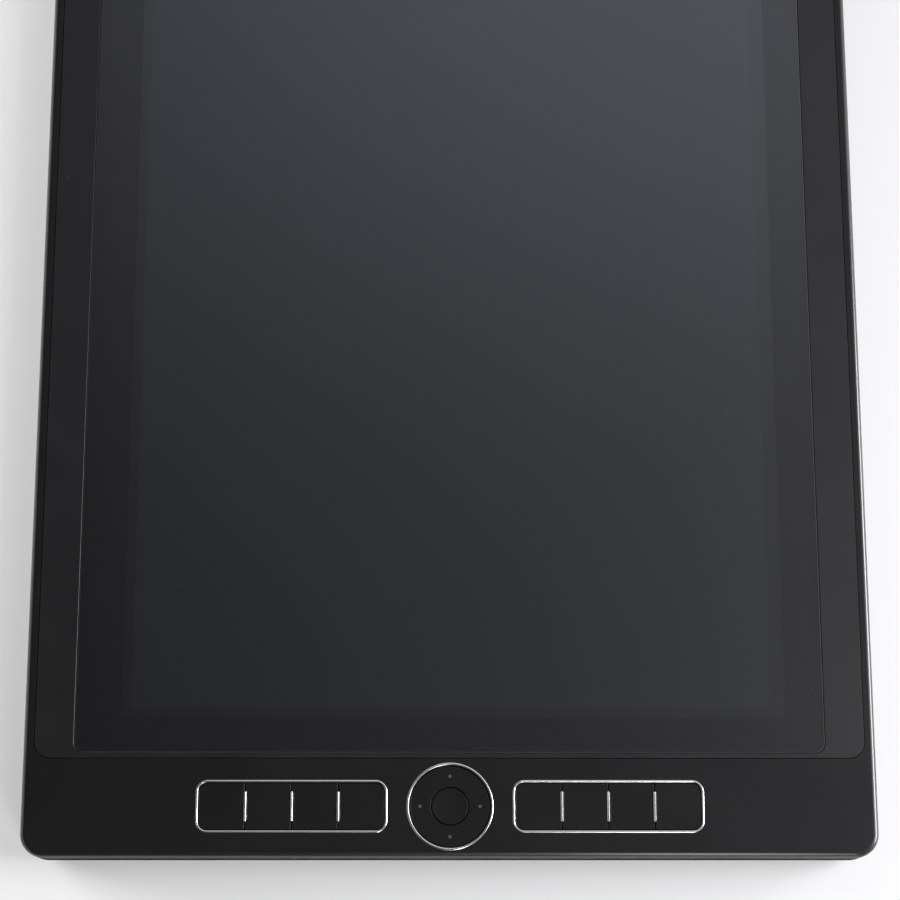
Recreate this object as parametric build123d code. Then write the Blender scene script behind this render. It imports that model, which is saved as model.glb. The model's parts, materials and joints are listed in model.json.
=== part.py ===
from build123d import *
import os
from math import cos, radians, sin

# A pen tablet with its own screen, in millimetres.
# X runs along the long side with the key panel at -X, +Y is the top edge in landscape, Z is up.
# The origin is on the table, under the middle of the tablet.

# Display in plan, from the lit area outwards
screen_length = 348.0
screen_width = 197.6
screen_shift = -0.4  # the lit area and the clear window sit slightly off the middle
window_shift = -1.2
window_band_x = 3.2  # from the lit area to the printed border
window_band_y = 3.7
glass_border_x = 10.8  # printed border, from the window to the edge of the glass
glass_border_y = 12.9
glass_corner = 3.0
glass_gap = 0.2
bezel_key_end = 1.8
bezel_far_end = 7.0
bezel_side = 12.3
bezel_corner = 5.0
bezel_gap = 0.15
rim_width = 3.3

# Heights, from the table up
foot_height = 1.0
floor_thickness = 1.5
board_gap = 1.5  # between the floor and the underside of the main board
board_thickness = 1.2
jack_height = 4.6
processor_height = 1.4
cold_plate_height = 1.0
pipe_height = 2.0
bay_spare = 0.4  # between the tallest part on the board and the mid frame
frame_thickness = 1.0
sensor_thickness = 0.8
tray_thickness = 0.4
backlight_thickness = 3.2
cell_thickness = 1.5
polariser_thickness = 0.15
gasket_thickness = 0.7
mask_thickness = 0.1
glass_thickness = 1.1
bezel_ledge_thickness = 0.4

# Casing
corner_radius = 7.2
top_edge_radius = 1.8
bottom_edge_radius = 4.0
bottom_inner_radius = 2.0
side_wall = 2.0
wall_above_split = 5.5
split_gap = 0.2
lip_height = 0.9
lip_width = 0.9
lip_gap = 0.1
edge_break = 0.15  # on the glass and the bezel
support_thickness = 1.4  # ledge of the front housing that carries the bezel
support_width = 12.0
support_lead = 1.6
bezel_ledge_width = 3.0
frame_gap = 0.5
frame_window_margin = 14.0
frame_window_radius = 6.0
overrun = 1.0  # how far a cut runs past the faces it cuts

# Display pieces
cell_border = 3.5
gasket_inset = 1.2
tray_gap = 0.3
tray_wall = 0.6
guide_gap = 0.4

# Screws of the casing
boss_radius = 3.2
boss_inset = 6.5  # from the inner wall to the middle of a boss
first_screw_inset = 14.0  # from the key end of the bezel
last_screw_inset = 10.0  # from the far end of the tablet
fan_screw_gap = 10.5  # from the boss beside the fans to the nearer fan
end_boss_margin = 5.0
screw_head_radius = 2.3
screw_head_height = 1.2
screw_head_recess = 0.2
screw_radius = 1.2
screw_engagement = 3.2
screw_clearance = 0.05
socket_radius = 0.9
socket_depth = 0.7

# Key panel
panel_end_margin = 2.0  # from the end of the tablet to the rim of the rocker
panel_bezel_margin = 1.2  # from that rim to the bezel
key_group_gap = 5.75  # from that rim to the rim of a key group
key_pitch = 14.2
keys_per_group = 4
key_split = 0.35
key_chamfer = 0.15
rim_line_length = 57.85  # centre line of a bright rim
rim_line_width = 15.3
rim_line_corner = 3.3
rim_line = 0.75  # width of the bright line
rim_depth = 1.1
rim_proud = 0.2
rim_chamfer = 0.18
seat_gap = 0.02
running_gap = 0.3
key_flange_thickness = 0.9
key_flange_reach = 0.8
key_travel = 0.6
stem_radius = 1.2
divider_length = 9.25
divider_foot_width = 2.4
divider_foot_height = 0.8
plate_margin_x = 1.5
plate_margin_y = 5.4
key_plate_thickness = 1.0
leg_length = 2.25
sheet_thickness = 0.15
dome_height = 0.7
dome_radius = 2.4
key_board_thickness = 1.0
key_boss_radius = 1.8
key_boss_x = 8.5
key_boss_gap = 0.875  # from a boss to the flange of the keys
key_boss_outer = 3.3
key_screw_radius = 0.8
key_screw_head_radius = 1.5
key_screw_head_height = 0.9
key_screw_engagement = 3.0

# Rocker ring and home button
rocker_rim_radius = 12.95
rocker_rim_line = 0.8
rocker_gap = 0.35
rocker_bore_radius = 5.8
rocker_height = 2.9
rocker_tilt = 2.0  # degrees each way
rocker_flange_reach = 0.6
rocker_chamfer = 0.25
pip_shift = 0.17  # outwards from the middle of the ring
pip_radius = 0.5
pip_depth = 0.6
pip_proud = 0.05
pivot_drop = 1.4  # from the underside of the rocker down to its pivot
pivot_pin_radius = 0.4
pivot_clearance = 0.05
gimbal_gap = 1.2  # from the flange of the home button to the gimbal
gimbal_width = 1.6
gimbal_height = 1.0
post_gap = 0.4
post_thickness = 1.6
post_width = 2.4
post_cover = 0.35
ear_reach = 0.9
plate_drop = 1.7  # from the pivot down to the key plate
nub_inset = 1.0  # from the edge of the rocker
nub_radius = 0.7
home_gap = 0.26
home_flange_reach = 0.6
home_flange_gap = 0.6
home_flange_thickness = 0.6
home_lip = 0.55  # between the dish and the edge of the button
home_dish_depth = 0.18
home_chamfer = 0.12

# Electronics
board_end_gap = 4.0
board_length = 183.0
board_side_gap = 11.0
board_fan_gap = 7.0
board_screw_inset = 5.0
board_boss_radius = 2.4
fan_size = 52.0
fan_margin = 9.8
fan_corner = 6.0
fan_floor_gap = 0.9
fan_plate = 0.8
fan_wall = 2.5
fan_inlet_radius = 14.0
fan_outlet_margin = 6.0  # from the outlet to the corner of the housing
fan_pin_radius = 1.5
fan_bore_clearance = 0.05
hub_radius = 8.0
hub_gap = 0.4
hub_floor = 0.8
blade_count = 17
blade_gap = 3.0
blade_thickness = 0.6
blade_sweep = 28.0  # degrees
fin_depth = 8.0
fin_thickness = 0.4
fin_pitch = 2.0
fin_wall_gap = 2.5
fin_fan_gap = 0.5
pipe_width = 5.0
pipe_gap = 0.6
pipe_fan_gap = 1.7
pipe_bend = 5.0
processor_length = 30.0
processor_width = 24.0
cold_plate_overhang = 2.0
processor_drop = 34.0
battery_headroom = 1.9
battery_gap = 4.0
battery_margin = 14.0
battery_corner = 3.0
battery_count = 2  # cells along each axis
chip_height = 1.0
chip_size = 12.0
card_thickness = 0.8
card_lift = 1.2
card_width = 22.0
storage_card_length = 80.0
wireless_card_length = 30.0
card_spacing = 10.0
speaker_boss_gap = 3.6  # from the boss beside the keys to a speaker
speaker_width = 20.0
speaker_height = 5.5
speaker_margin = 4.5
speaker_corner = 2.5
ribbon_thickness = 0.2
key_ribbon_width = 12.0
display_ribbon_width = 20.0
ribbon_gap = 0.1
ribbon_bend = 0.5

# Ports on the far end
port_width = 8.94
port_height = 3.26
port_shell = 0.3
port_depth = 9.0
port_tongue_width = 6.7
port_tongue_height = 0.7
port_recess = 0.8
port_gap = 0.15
port_pitch = 18.0
port_share = 0.2655  # places along the width of the main board
port_count = 3
jack_width = 6.4
jack_bore_radius = 1.8
jack_bore_depth = 12.0
jack_back = 1.2
jack_wall_gap = 0.1
jack_opening_radius = 2.6
jack_nose_gap = 0.1  # round the nose that fills the opening
jack_nose_recess = 0.2
jack_share = 0.5593
slot_width = 24.4
slot_height = 2.2
slot_shell = 0.4
slot_depth = 22.0
slot_gap = 0.3
slot_share = 0.7401
slot_ribbon_gap = 3.4
lock_board_gap = 1.0  # from the edge of the board to the middle of the slot
lock_width = 7.0
lock_height = 3.0
lock_plate_width = 14.0
lock_plate_gap = 0.1
lock_plate_thickness = 1.5
lock_radius = 0.8

# Buttons on the long edge
button_height = 3.0
button_rise = 6.8  # from the table to the middle of a button, less the foot
button_flange_reach = 0.9
button_flange_thickness = 1.0
button_travel = 0.5
power_inset = 59.0  # from the far end to the middle of the power button
power_length = 12.0
volume_gap = 13.0  # between the ends of the two caps
volume_length = 26.0
volume_tilt = 2.0
volume_pivot_depth = 4.0
volume_pin_radius = 0.6
volume_lug_length = 5.0
volume_lug_depth = 3.4
volume_side_gap = 0.35
slider_gap = 12.5  # from the end of the volume rocker
slider_length = 5.0
slider_travel = 2.0
slider_grip = 0.25
plunger_radius = 0.7
switch_height = 1.4
switch_width = 3.4
switch_spread = 8.0
side_board_thickness = 0.8
side_board_depth = 5.0  # from the inner wall to the face of the side board
side_board_margin = 5.0
bracket_thickness = 0.8
bracket_tab = 4.0

# Vents, speaker slots and feet
vent_width = 2.0
vent_pitch = 3.6
vent_height = 4.6
vent_rise = 5.4  # from the table to the bottom of an exhaust slot
intake_radius = 19.0
intake_width = 1.6
intake_pitch = 3.8
speaker_slot_width = 1.2
speaker_slot_pitch = 3.0
speaker_slot_count = 6
speaker_slot_length = 12.0
foot_length = 30.0
foot_width = 9.0
foot_seat = 0.6
foot_x_shares = (-0.78, 0.9)  # places along half the length
foot_y_share = 0.845
foot_chamfer = 0.3

# Worked out from the sizes above
window_length = screen_length + 2 * window_band_x
window_width = screen_width + 2 * window_band_y
glass_length = window_length + 2 * glass_border_x
glass_width = window_width + 2 * glass_border_y
bezel_length = glass_length + bezel_key_end + bezel_far_end
bezel_width = glass_width + 2 * bezel_side
rocker_rim_outer = rocker_rim_radius + rocker_rim_line / 2
key_row_offset = panel_end_margin + rocker_rim_outer
key_panel_width = key_row_offset + rocker_rim_outer + panel_bezel_margin
tablet_length = key_panel_width + bezel_length + rim_width
tablet_width = bezel_width + 2 * rim_width

half_length = tablet_length / 2
half_width = tablet_width / 2
inner_x = half_length - side_wall
inner_y = half_width - side_wall
bezel_x0 = key_panel_width - half_length
bezel_x1 = bezel_x0 + bezel_length
glass_x0 = bezel_x0 + bezel_key_end
glass_x1 = glass_x0 + glass_length
window_x0 = glass_x0 + glass_border_x
window_x1 = window_x0 + window_length
window_y0 = window_shift - window_width / 2
window_y1 = window_shift + window_width / 2
screen_x0 = window_x0 + window_band_x
screen_x1 = screen_x0 + screen_length
cell_x0 = window_x0 - cell_border
cell_x1 = window_x1 + cell_border
cell_y0 = window_y0 - cell_border
cell_y1 = window_y1 + cell_border

floor_z = foot_height + floor_thickness
board_z0 = floor_z + board_gap
board_z1 = board_z0 + board_thickness
pipe_z0 = board_z1 + processor_height + cold_plate_height
pipe_z1 = pipe_z0 + pipe_height
frame_z0 = max(board_z1 + jack_height, pipe_z1) + bay_spare
frame_z1 = frame_z0 + frame_thickness
sensor_z1 = frame_z1 + sensor_thickness
light_z0 = sensor_z1 + tray_thickness
cell_z0 = light_z0 + backlight_thickness
cell_z1 = cell_z0 + cell_thickness
mask_z0 = cell_z1 + gasket_thickness
glass_z0 = mask_z0 + mask_thickness
top_z = glass_z0 + glass_thickness
top_thickness = bezel_ledge_thickness + mask_thickness + glass_thickness
plate_z = top_z - top_thickness
support_z = plate_z - support_thickness
split_z = top_z - wall_above_split

key_row_x = key_row_offset - half_length
key_group_offset = rocker_rim_outer + key_group_gap + (rim_line + rim_line_length) / 2
key_boss_y = key_group_offset - rim_line_length / 2 - key_flange_reach - key_boss_gap - key_boss_radius
rocker_radius = rocker_rim_radius - rocker_rim_line / 2 - rocker_gap
pip_circle_radius = (rocker_radius + rocker_bore_radius) / 2 + pip_shift
nub_circle_radius = rocker_radius - nub_inset
home_radius = rocker_bore_radius - home_gap
home_dish_radius = home_radius - home_lip
gimbal_inner_radius = rocker_bore_radius + home_flange_reach + gimbal_gap
gimbal_outer_radius = gimbal_inner_radius + gimbal_width
rocker_flange_radius = rocker_rim_radius + rocker_flange_reach
rocker_z0 = top_z - rocker_height
pivot_z = rocker_z0 - pivot_drop
key_plate_z1 = pivot_z - plate_drop
key_plate_z0 = key_plate_z1 - key_plate_thickness
sheet_z1 = key_plate_z0 - leg_length
key_board_z1 = sheet_z1 - sheet_thickness
key_board_z0 = key_board_z1 - key_board_thickness
dome_z = key_board_z1 + dome_height
stem_z0 = dome_z + key_travel + running_gap
key_flange_z1 = plate_z - running_gap
key_flange_z0 = key_flange_z1 - key_flange_thickness
rim_z0 = top_z - rim_depth
rim_z1 = top_z + rim_proud
plate_half_y = key_group_offset + rim_line_length / 2 + plate_margin_y
plate_x0 = plate_margin_x - inner_x
plate_x1 = 2 * key_row_x - plate_x0

fan_outlet_width = fan_size - 2 * fan_outlet_margin
blade_radius = fan_size / 2 - fan_wall - blade_gap
pipe_pitch = pipe_width + pipe_gap
fan_spacing = pipe_pitch + pipe_width + 2 * pipe_fan_gap
last_screw_x = half_length - last_screw_inset
fan_x1 = last_screw_x - boss_radius - fan_margin - fan_size / 2
fan_x0 = fan_x1 - fan_size - fan_spacing
fan_xs = (fan_x0, fan_x1)
fan_screw_x = fan_x0 - fan_size / 2 - fan_screw_gap - boss_radius

cover_screw_x = [bezel_x0 + first_screw_inset, -fan_screw_x, fan_screw_x, last_screw_x]
cover_screw_y = inner_y - boss_inset
end_boss_y = plate_half_y + end_boss_margin
speaker_y0 = end_boss_y + boss_radius + speaker_boss_gap
speaker_y1 = inner_y - speaker_margin
cover_screw_places = [(x, side * cover_screw_y) for x in cover_screw_x for side in (-1, 1)]
end_screw_places = [(key_row_x, side * end_boss_y) for side in (-1, 1)]

fan_y = fin_wall_gap + fin_depth + fin_fan_gap + fan_size / 2 - inner_y
fan_z0 = floor_z + fan_floor_gap
board_x1 = inner_x - board_end_gap
board_x0 = board_x1 - board_length
board_y0 = fan_y + fan_size / 2 + board_fan_gap
board_y1 = inner_y - board_side_gap
pipe_x = (fan_x0 + fan_x1) / 2
fin_y = fin_wall_gap + fin_depth / 2 - inner_y
board_width = board_y1 - board_y0
port_offset = board_y0 + port_share * board_width
jack_offset = board_y0 + jack_share * board_width
slot_offset = board_y0 + slot_share * board_width
lock_offset = board_y0 - lock_board_gap
port_z = board_z1 + port_height / 2
jack_z = board_z1 + jack_height / 2
slot_z = board_z1 + slot_shell + slot_height / 2
button_z = foot_height + button_rise
lock_plate_height = 2 * (frame_z0 - lock_plate_gap - button_z)
power_offset = half_length - power_inset
volume_offset = power_offset - power_length / 2 - volume_gap - volume_length / 2
lock_slider_offset = volume_offset - volume_length / 2 - slider_gap - slider_length / 2
side_board_y = inner_y - side_board_depth
plunger_y = side_board_y + switch_height + button_travel + running_gap


# Shapes that many pieces share


def block(x0, x1, y0, y1, z0, z1):
    """A box between two opposite corners."""
    return Pos((x0 + x1) / 2, (y0 + y1) / 2, (z0 + z1) / 2) * Box(x1 - x0, y1 - y0, z1 - z0)


def rounded(x0, x1, y0, y1, z0, z1, radius):
    """A box with round corners in plan."""
    face = RectangleRounded(x1 - x0, y1 - y0, radius)
    return Pos((x0 + x1) / 2, (y0 + y1) / 2, z0) * extrude(face, z1 - z0)


def rod(x, y, z0, z1, radius):
    """An upright cylinder."""
    return Pos(x, y, (z0 + z1) / 2) * Cylinder(radius, z1 - z0)


def rod_between(start, end, radius):
    """A cylinder from one point to another."""
    axis = Vector(end) - Vector(start)
    return extrude(Plane(origin=start, z_dir=axis) * Circle(radius), axis.length)


def slot_along_x(x0, x1, y, z, length, height):
    """A lying slot shape that runs along X, with its length along Y."""
    plane = Plane(origin=(x0, y, z), x_dir=(0, 1, 0), z_dir=(1, 0, 0))
    return extrude(plane * SlotOverall(length, height), x1 - x0)


def slot_along_y(y0, y1, x, z, length, height):
    """A lying slot shape that runs along Y, with its length along X."""
    plane = Plane(origin=(x, y0, z), x_dir=(-1, 0, 0), z_dir=(0, 1, 0))
    return extrude(plane * SlotOverall(length, height), y1 - y0)


def outline(inset, z0, z1):
    """The plan shape of the tablet, drawn in by inset, between two heights."""
    x = half_length - inset
    y = half_width - inset
    return rounded(-x, x, -y, y, z0, z1, corner_radius - inset)


def top_edges(part):
    """The edges round the highest face."""
    return part.edges().group_by(Axis.Z)[-1]


def bottom_edges(part):
    """The edges round the lowest face."""
    return part.edges().group_by(Axis.Z)[0]


def key_window(grow, z0, z1, side):
    """The shape of one key group's rim line, made larger by grow, on one side of the rocker."""
    half_y = rim_line_length / 2 + grow
    half_x = rim_line_width / 2 + grow
    y = side * key_group_offset
    corner = rim_line_corner + grow
    return rounded(key_row_x - half_x, key_row_x + half_x, y - half_y, y + half_y, z0, z1, corner)


def key_places():
    """The side and the middle, along Y, of each key, from +Y to -Y."""
    places = []
    for side in (1, -1):
        for n in range(keys_per_group):
            places.append((side, side * key_group_offset + ((keys_per_group - 1) / 2 - n) * key_pitch))
    return places


def divider_places():
    """The middle, along Y, of each divider bar."""
    places = []
    for side in (1, -1):
        for n in range(keys_per_group - 1):
            places.append(side * key_group_offset + ((keys_per_group - 2) / 2 - n) * key_pitch)
    return places


def key_boss_places():
    """Where the key plate and the key board are screwed to the front housing."""
    inner = [(key_row_x + sx * key_boss_x, sy * key_boss_y) for sx in (-1, 1) for sy in (-1, 1)]
    outer_y = key_group_offset + rim_line_length / 2 + key_boss_outer
    return inner + [(key_row_x, outer_y), (key_row_x, -outer_y)]


def nub_places():
    """The four points under the rocker that press the domes, between its arrows."""
    reach = nub_circle_radius * cos(radians(45))
    return [(key_row_x + sx * reach, sy * reach) for sx in (-1, 1) for sy in (-1, 1)]


def board_screw_places():
    """The corners of the main board, where it is screwed to the mid frame."""
    xs = (board_x0 + board_screw_inset, board_x1 - board_screw_inset)
    ys = (board_y0 + board_screw_inset, board_y1 - board_screw_inset)
    return [(x, y) for x in xs for y in ys]


# Casing


def front_housing():
    """Outer rim and key panel in one piece, with the ledge that carries the bezel."""
    wall_z0 = split_z + split_gap / 2
    part = outline(0, wall_z0, top_z)
    part = fillet(top_edges(part), top_edge_radius)
    part -= outline(side_wall, wall_z0 - overrun, plate_z)
    lip_inset = side_wall - lip_width
    lip_z0 = split_z - lip_height
    lip = outline(lip_inset, lip_z0, wall_z0 + lip_height) - outline(side_wall, lip_z0, wall_z0 + lip_height)
    ledge = outline(side_wall, support_z, plate_z)
    ledge_x0 = bezel_x0 - support_lead
    ledge -= block(-half_length, ledge_x0, -half_width, half_width, support_z, plate_z)
    part += [lip, ledge]
    bosses = [rod(x, y, frame_z1, support_z, boss_radius) for x, y in cover_screw_places]
    bosses += [rod(x, y, frame_z0, plate_z, boss_radius) for x, y in end_screw_places]
    bosses += [rod(x, y, key_plate_z1, plate_z, key_boss_radius) for x, y in key_boss_places()]
    part += bosses
    window_x0_cut = glass_x0 + bezel_ledge_width - support_lead
    window_x1_cut = glass_x1 - bezel_ledge_width + support_lead
    window_half = inner_y - support_width
    part -= rounded(
        window_x0_cut, window_x1_cut, -window_half, window_half, support_z - overrun, top_z, glass_corner
    )
    part -= rounded(
        bezel_x0, bezel_x1, -bezel_width / 2, bezel_width / 2, plate_z, top_z + overrun, bezel_corner
    )
    part -= [key_window(rim_line / 2 + seat_gap, rim_z0, top_z + overrun, side) for side in (-1, 1)]
    part -= [key_window(0, plate_z - overrun, rim_z0 + overrun / 2, side) for side in (-1, 1)]
    part -= rod(key_row_x, 0, rim_z0, top_z + overrun, rocker_rim_outer + seat_gap)
    part -= rod(key_row_x, 0, plate_z - overrun, top_z, rocker_rim_radius)
    hole = screw_radius + screw_clearance
    cuts = [
        rod(x, y, frame_z0 - overrun, frame_z1 + screw_engagement + overrun / 2, hole)
        for x, y in cover_screw_places + end_screw_places
    ]
    key_hole = key_screw_radius + screw_clearance
    cuts += [
        rod(x, y, key_plate_z1 - overrun, key_plate_z1 + key_screw_engagement + running_gap, key_hole)
        for x, y in key_boss_places()
    ]
    return part - cuts


def intake_slots(x, y):
    """Parallel slots in a round field under a fan."""
    slots = []
    count = int((intake_radius - intake_width) / intake_pitch)
    for n in range(-count, count + 1):
        dx = n * intake_pitch
        reach = (intake_radius**2 - dx**2) ** 0.5
        half = intake_width / 2
        slots.append(block(x + dx - half, x + dx + half, y - reach, y + reach, 0, floor_z + overrun))
    return slots


def exhaust_slots(x):
    """Upright slots in the long wall behind a stack of fins."""
    slots = []
    count = int(fan_outlet_width / 2 / vent_pitch)
    for n in range(-count, count + 1):
        middle = x + n * vent_pitch
        half = vent_width / 2
        z0 = vent_rise
        slots.append(block(middle - half, middle + half, -half_width, -inner_y, z0, z0 + vent_height))
    return slots


def speaker_places():
    """The middle of each speaker, at the key end of the tablet."""
    y = (speaker_y0 + speaker_y1) / 2
    return [(key_row_x, side * y) for side in (1, -1)]


def speaker_slots(x, y):
    """Short slots in the floor under a speaker."""
    slots = []
    for n in range(speaker_slot_count):
        middle = y + (n - (speaker_slot_count - 1) / 2) * speaker_slot_pitch
        half = speaker_slot_width / 2
        reach = speaker_slot_length / 2
        slots.append(block(x - reach, x + reach, middle - half, middle + half, 0, floor_z + overrun))
    return slots


def foot_places():
    """The middle of each rubber foot."""
    y = foot_y_share * half_width
    return [(share * half_length, side * y) for share in foot_x_shares for side in (-1, 1)]


def foot_solid(x, y, z0, z1):
    """A stadium-shaped foot or its pocket."""
    return Pos(x, y, z0) * extrude(SlotOverall(foot_length, foot_width), z1 - z0)


def port_places():
    """The middle, along Y, of each small port."""
    return [port_offset + (n - (port_count - 1) / 2) * port_pitch for n in range(port_count)]


def rear_cover():
    """The tray under the tablet, with its bosses, vents and the openings of ports and buttons."""
    wall_z1 = split_z - split_gap / 2
    part = outline(0, foot_height, wall_z1)
    part = fillet(bottom_edges(part), bottom_edge_radius)
    inside = outline(side_wall, floor_z, wall_z1 + overrun)
    part -= fillet(bottom_edges(inside), bottom_inner_radius)
    rebate_inset = side_wall - lip_width - lip_gap
    part -= outline(rebate_inset, split_z - lip_height, wall_z1 + overrun)
    places = cover_screw_places + end_screw_places
    part += [rod(x, y, floor_z - floor_thickness / 2, frame_z0, boss_radius) for x, y in places]
    hole = screw_radius + screw_clearance
    head_z1 = foot_height + screw_head_recess + screw_head_height
    cuts = [rod(x, y, 0, frame_z0 + overrun, hole) for x, y in places]
    cuts += [rod(x, y, 0, head_z1, screw_head_radius + lip_gap) for x, y in places]
    for x in fan_xs:
        cuts += intake_slots(x, fan_y) + exhaust_slots(x)
    for x, y in speaker_places():
        cuts += speaker_slots(x, y)
    for x, y in foot_places():
        cuts.append(foot_solid(x, y, 0, foot_height + foot_seat))
    x0 = inner_x - overrun
    x1 = half_length + overrun
    for y in port_places():
        cuts.append(
            slot_along_x(x0, x1, y, port_z, port_width + 2 * port_gap, port_height + 2 * port_gap)
        )
    cuts.append(rod_between((x0, jack_offset, jack_z), (x1, jack_offset, jack_z), jack_opening_radius))
    slot_y = slot_width / 2 + slot_gap
    slot_half_z = slot_height / 2 + slot_gap
    cuts.append(
        block(x0, x1, slot_offset - slot_y, slot_offset + slot_y, slot_z - slot_half_z, slot_z + slot_half_z)
    )
    cuts.append(lock_hole(x0, x1))
    y0 = inner_y - overrun
    y1 = half_width + overrun
    gap = 2 * running_gap
    cuts.append(slot_along_y(y0, y1, power_offset, button_z, power_length + gap, button_height + gap))
    gap_long = 2 * volume_side_gap
    cuts.append(
        slot_along_y(y0, y1, volume_offset, button_z, volume_length + gap_long, button_height + gap)
    )
    slider_slot = slider_length + slider_travel + gap
    slider_middle = lock_slider_offset + slider_travel / 2
    cuts.append(slot_along_y(y0, y1, slider_middle, button_z, slider_slot, button_height + gap))
    return part - cuts


def lock_hole(x0, x1):
    """The slot for a cable lock."""
    plane = Plane(origin=(x0, lock_offset, button_z), x_dir=(0, 1, 0), z_dir=(1, 0, 0))
    return extrude(plane * RectangleRounded(lock_width, lock_height, lock_radius), x1 - x0)


def lock_insert():
    """The steel plate that backs the lock slot."""
    y = lock_plate_width / 2
    z = lock_plate_height / 2
    x0 = inner_x - lock_plate_thickness
    part = block(x0, inner_x, lock_offset - y, lock_offset + y, button_z - z, button_z + z)
    return part - lock_hole(x0 - overrun, inner_x + overrun)


def rubber_feet():
    """Four pads set into pockets of the rear cover."""
    feet = []
    for x, y in foot_places():
        foot = foot_solid(x, y, 0, foot_height + foot_seat)
        feet.append(chamfer(bottom_edges(foot), foot_chamfer))
    return feet


def cover_screws():
    """Screws through the rear cover and the mid frame into the front housing."""
    screws = []
    head_z0 = foot_height + screw_head_recess
    head_z1 = head_z0 + screw_head_height
    for x, y in cover_screw_places + end_screw_places:
        screw = rod(x, y, head_z0, head_z1, screw_head_radius)
        screw += rod(x, y, head_z1, frame_z1 + screw_engagement, screw_radius)
        socket = extrude(RegularPolygon(socket_radius, side_count=6), socket_depth)
        screws.append(screw - Pos(x, y, head_z0) * socket)
    return screws


# Display


def display_bezel():
    """The inset panel round the glass, with the ledge under the edge of the glass."""
    half = bezel_width / 2 - bezel_gap
    part = rounded(
        bezel_x0 + bezel_gap, bezel_x1 - bezel_gap, -half, half, plate_z, top_z, bezel_corner - bezel_gap
    )
    half = glass_width / 2 + glass_gap / 2
    corner = glass_corner + glass_gap / 2
    part -= rounded(
        glass_x0 - glass_gap / 2, glass_x1 + glass_gap / 2, -half, half, mask_z0, top_z + overrun, corner
    )
    half = glass_width / 2 - bezel_ledge_width
    ledge_x0 = glass_x0 + bezel_ledge_width
    ledge_x1 = glass_x1 - bezel_ledge_width
    part = chamfer(top_edges(part), edge_break)
    return part - rounded(ledge_x0, ledge_x1, -half, half, plate_z - overrun, top_z, glass_corner)


def glass_slab(z0, z1):
    """The outline of the glass between two heights."""
    half = glass_width / 2 - glass_gap / 2
    x0 = glass_x0 + glass_gap / 2
    x1 = glass_x1 - glass_gap / 2
    return rounded(x0, x1, -half, half, z0, z1, glass_corner)


def cover_glass():
    """The etched glass that the pen writes on."""
    return chamfer(top_edges(glass_slab(glass_z0, top_z)), edge_break)


def border_mask():
    """The black border printed under the glass, with its clear window."""
    window = block(window_x0, window_x1, window_y0, window_y1, mask_z0 - overrun, glass_z0 + overrun)
    return glass_slab(mask_z0, glass_z0) - window


def display_gasket():
    """Foam frame between the screen cell and the border."""
    part = block(cell_x0, cell_x1, cell_y0, cell_y1, cell_z1, mask_z0)
    x0 = window_x0 - gasket_inset
    x1 = window_x1 + gasket_inset
    y0 = window_y0 - gasket_inset
    y1 = window_y1 + gasket_inset
    return part - block(x0, x1, y0, y1, cell_z1 - overrun, mask_z0 + overrun)


def lcd_cell():
    """The screen cell, with the polariser over its lit area."""
    part = block(cell_x0, cell_x1, cell_y0, cell_y1, cell_z0, cell_z1)
    y0 = screen_shift - screen_width / 2
    y1 = screen_shift + screen_width / 2
    return part + block(screen_x0, screen_x1, y0, y1, cell_z1, cell_z1 + polariser_thickness)


def backlight_unit():
    """Light guide and reflector, inside the walls of the tray."""
    return block(
        cell_x0 + guide_gap,
        cell_x1 - guide_gap,
        cell_y0 + guide_gap,
        cell_y1 - guide_gap,
        light_z0,
        cell_z0,
    )


def tray_box(grow, z0, z1):
    """A box round the screen cell, larger by grow."""
    return block(cell_x0 - grow, cell_x1 + grow, cell_y0 - grow, cell_y1 + grow, z0, z1)


def lcd_chassis():
    """The folded metal tray that holds the backlight and the cell."""
    part = tray_box(tray_gap + tray_wall, sensor_z1, cell_z1)
    return part - tray_box(tray_gap, light_z0, cell_z1 + overrun)


def digitizer_board():
    """The pen sensor board behind the display."""
    return tray_box(tray_gap + tray_wall, frame_z1, sensor_z1)


def mid_frame():
    """The stiff plate that carries the display above and the main board below."""
    inset = side_wall + frame_gap
    part = outline(inset, frame_z0, frame_z1)
    part -= block(-half_length, bezel_x0 - support_lead, -half_width, half_width, 0, top_z)
    # Two windows over the battery make the plate lighter.
    margin = frame_window_margin
    x0 = bezel_x0 + margin
    x1 = board_x0 - margin
    y0 = key_ribbon_width / 2 + margin
    y1 = cover_screw_y - boss_radius - margin
    for side in (-1, 1):
        low, high = sorted((side * y0, side * y1))
        part -= rounded(x0, x1, low, high, 0, top_z, frame_window_radius)
    part += [rod(x, y, board_z1, frame_z0, board_boss_radius) for x, y in board_screw_places()]
    cuts = [rod(x, y, 0, top_z, screw_radius + screw_clearance) for x, y in cover_screw_places]
    hole = key_screw_radius + screw_clearance
    hole_z1 = board_z1 + key_screw_engagement + running_gap
    cuts += [rod(x, y, 0, hole_z1, hole) for x, y in board_screw_places()]
    x0, x1, y0, y1 = display_slot()
    cuts.append(block(x0, x1, y0, y1, 0, top_z))
    return part - cuts


# Key panel


def key_rim(side):
    """The bright frame round one group of keys."""
    ring = key_window(rim_line / 2, rim_z0, rim_z1, side)
    ring -= key_window(-rim_line / 2, rim_z0 - overrun, rim_z1 + overrun, side)
    return chamfer(top_edges(ring), rim_chamfer)


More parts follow.
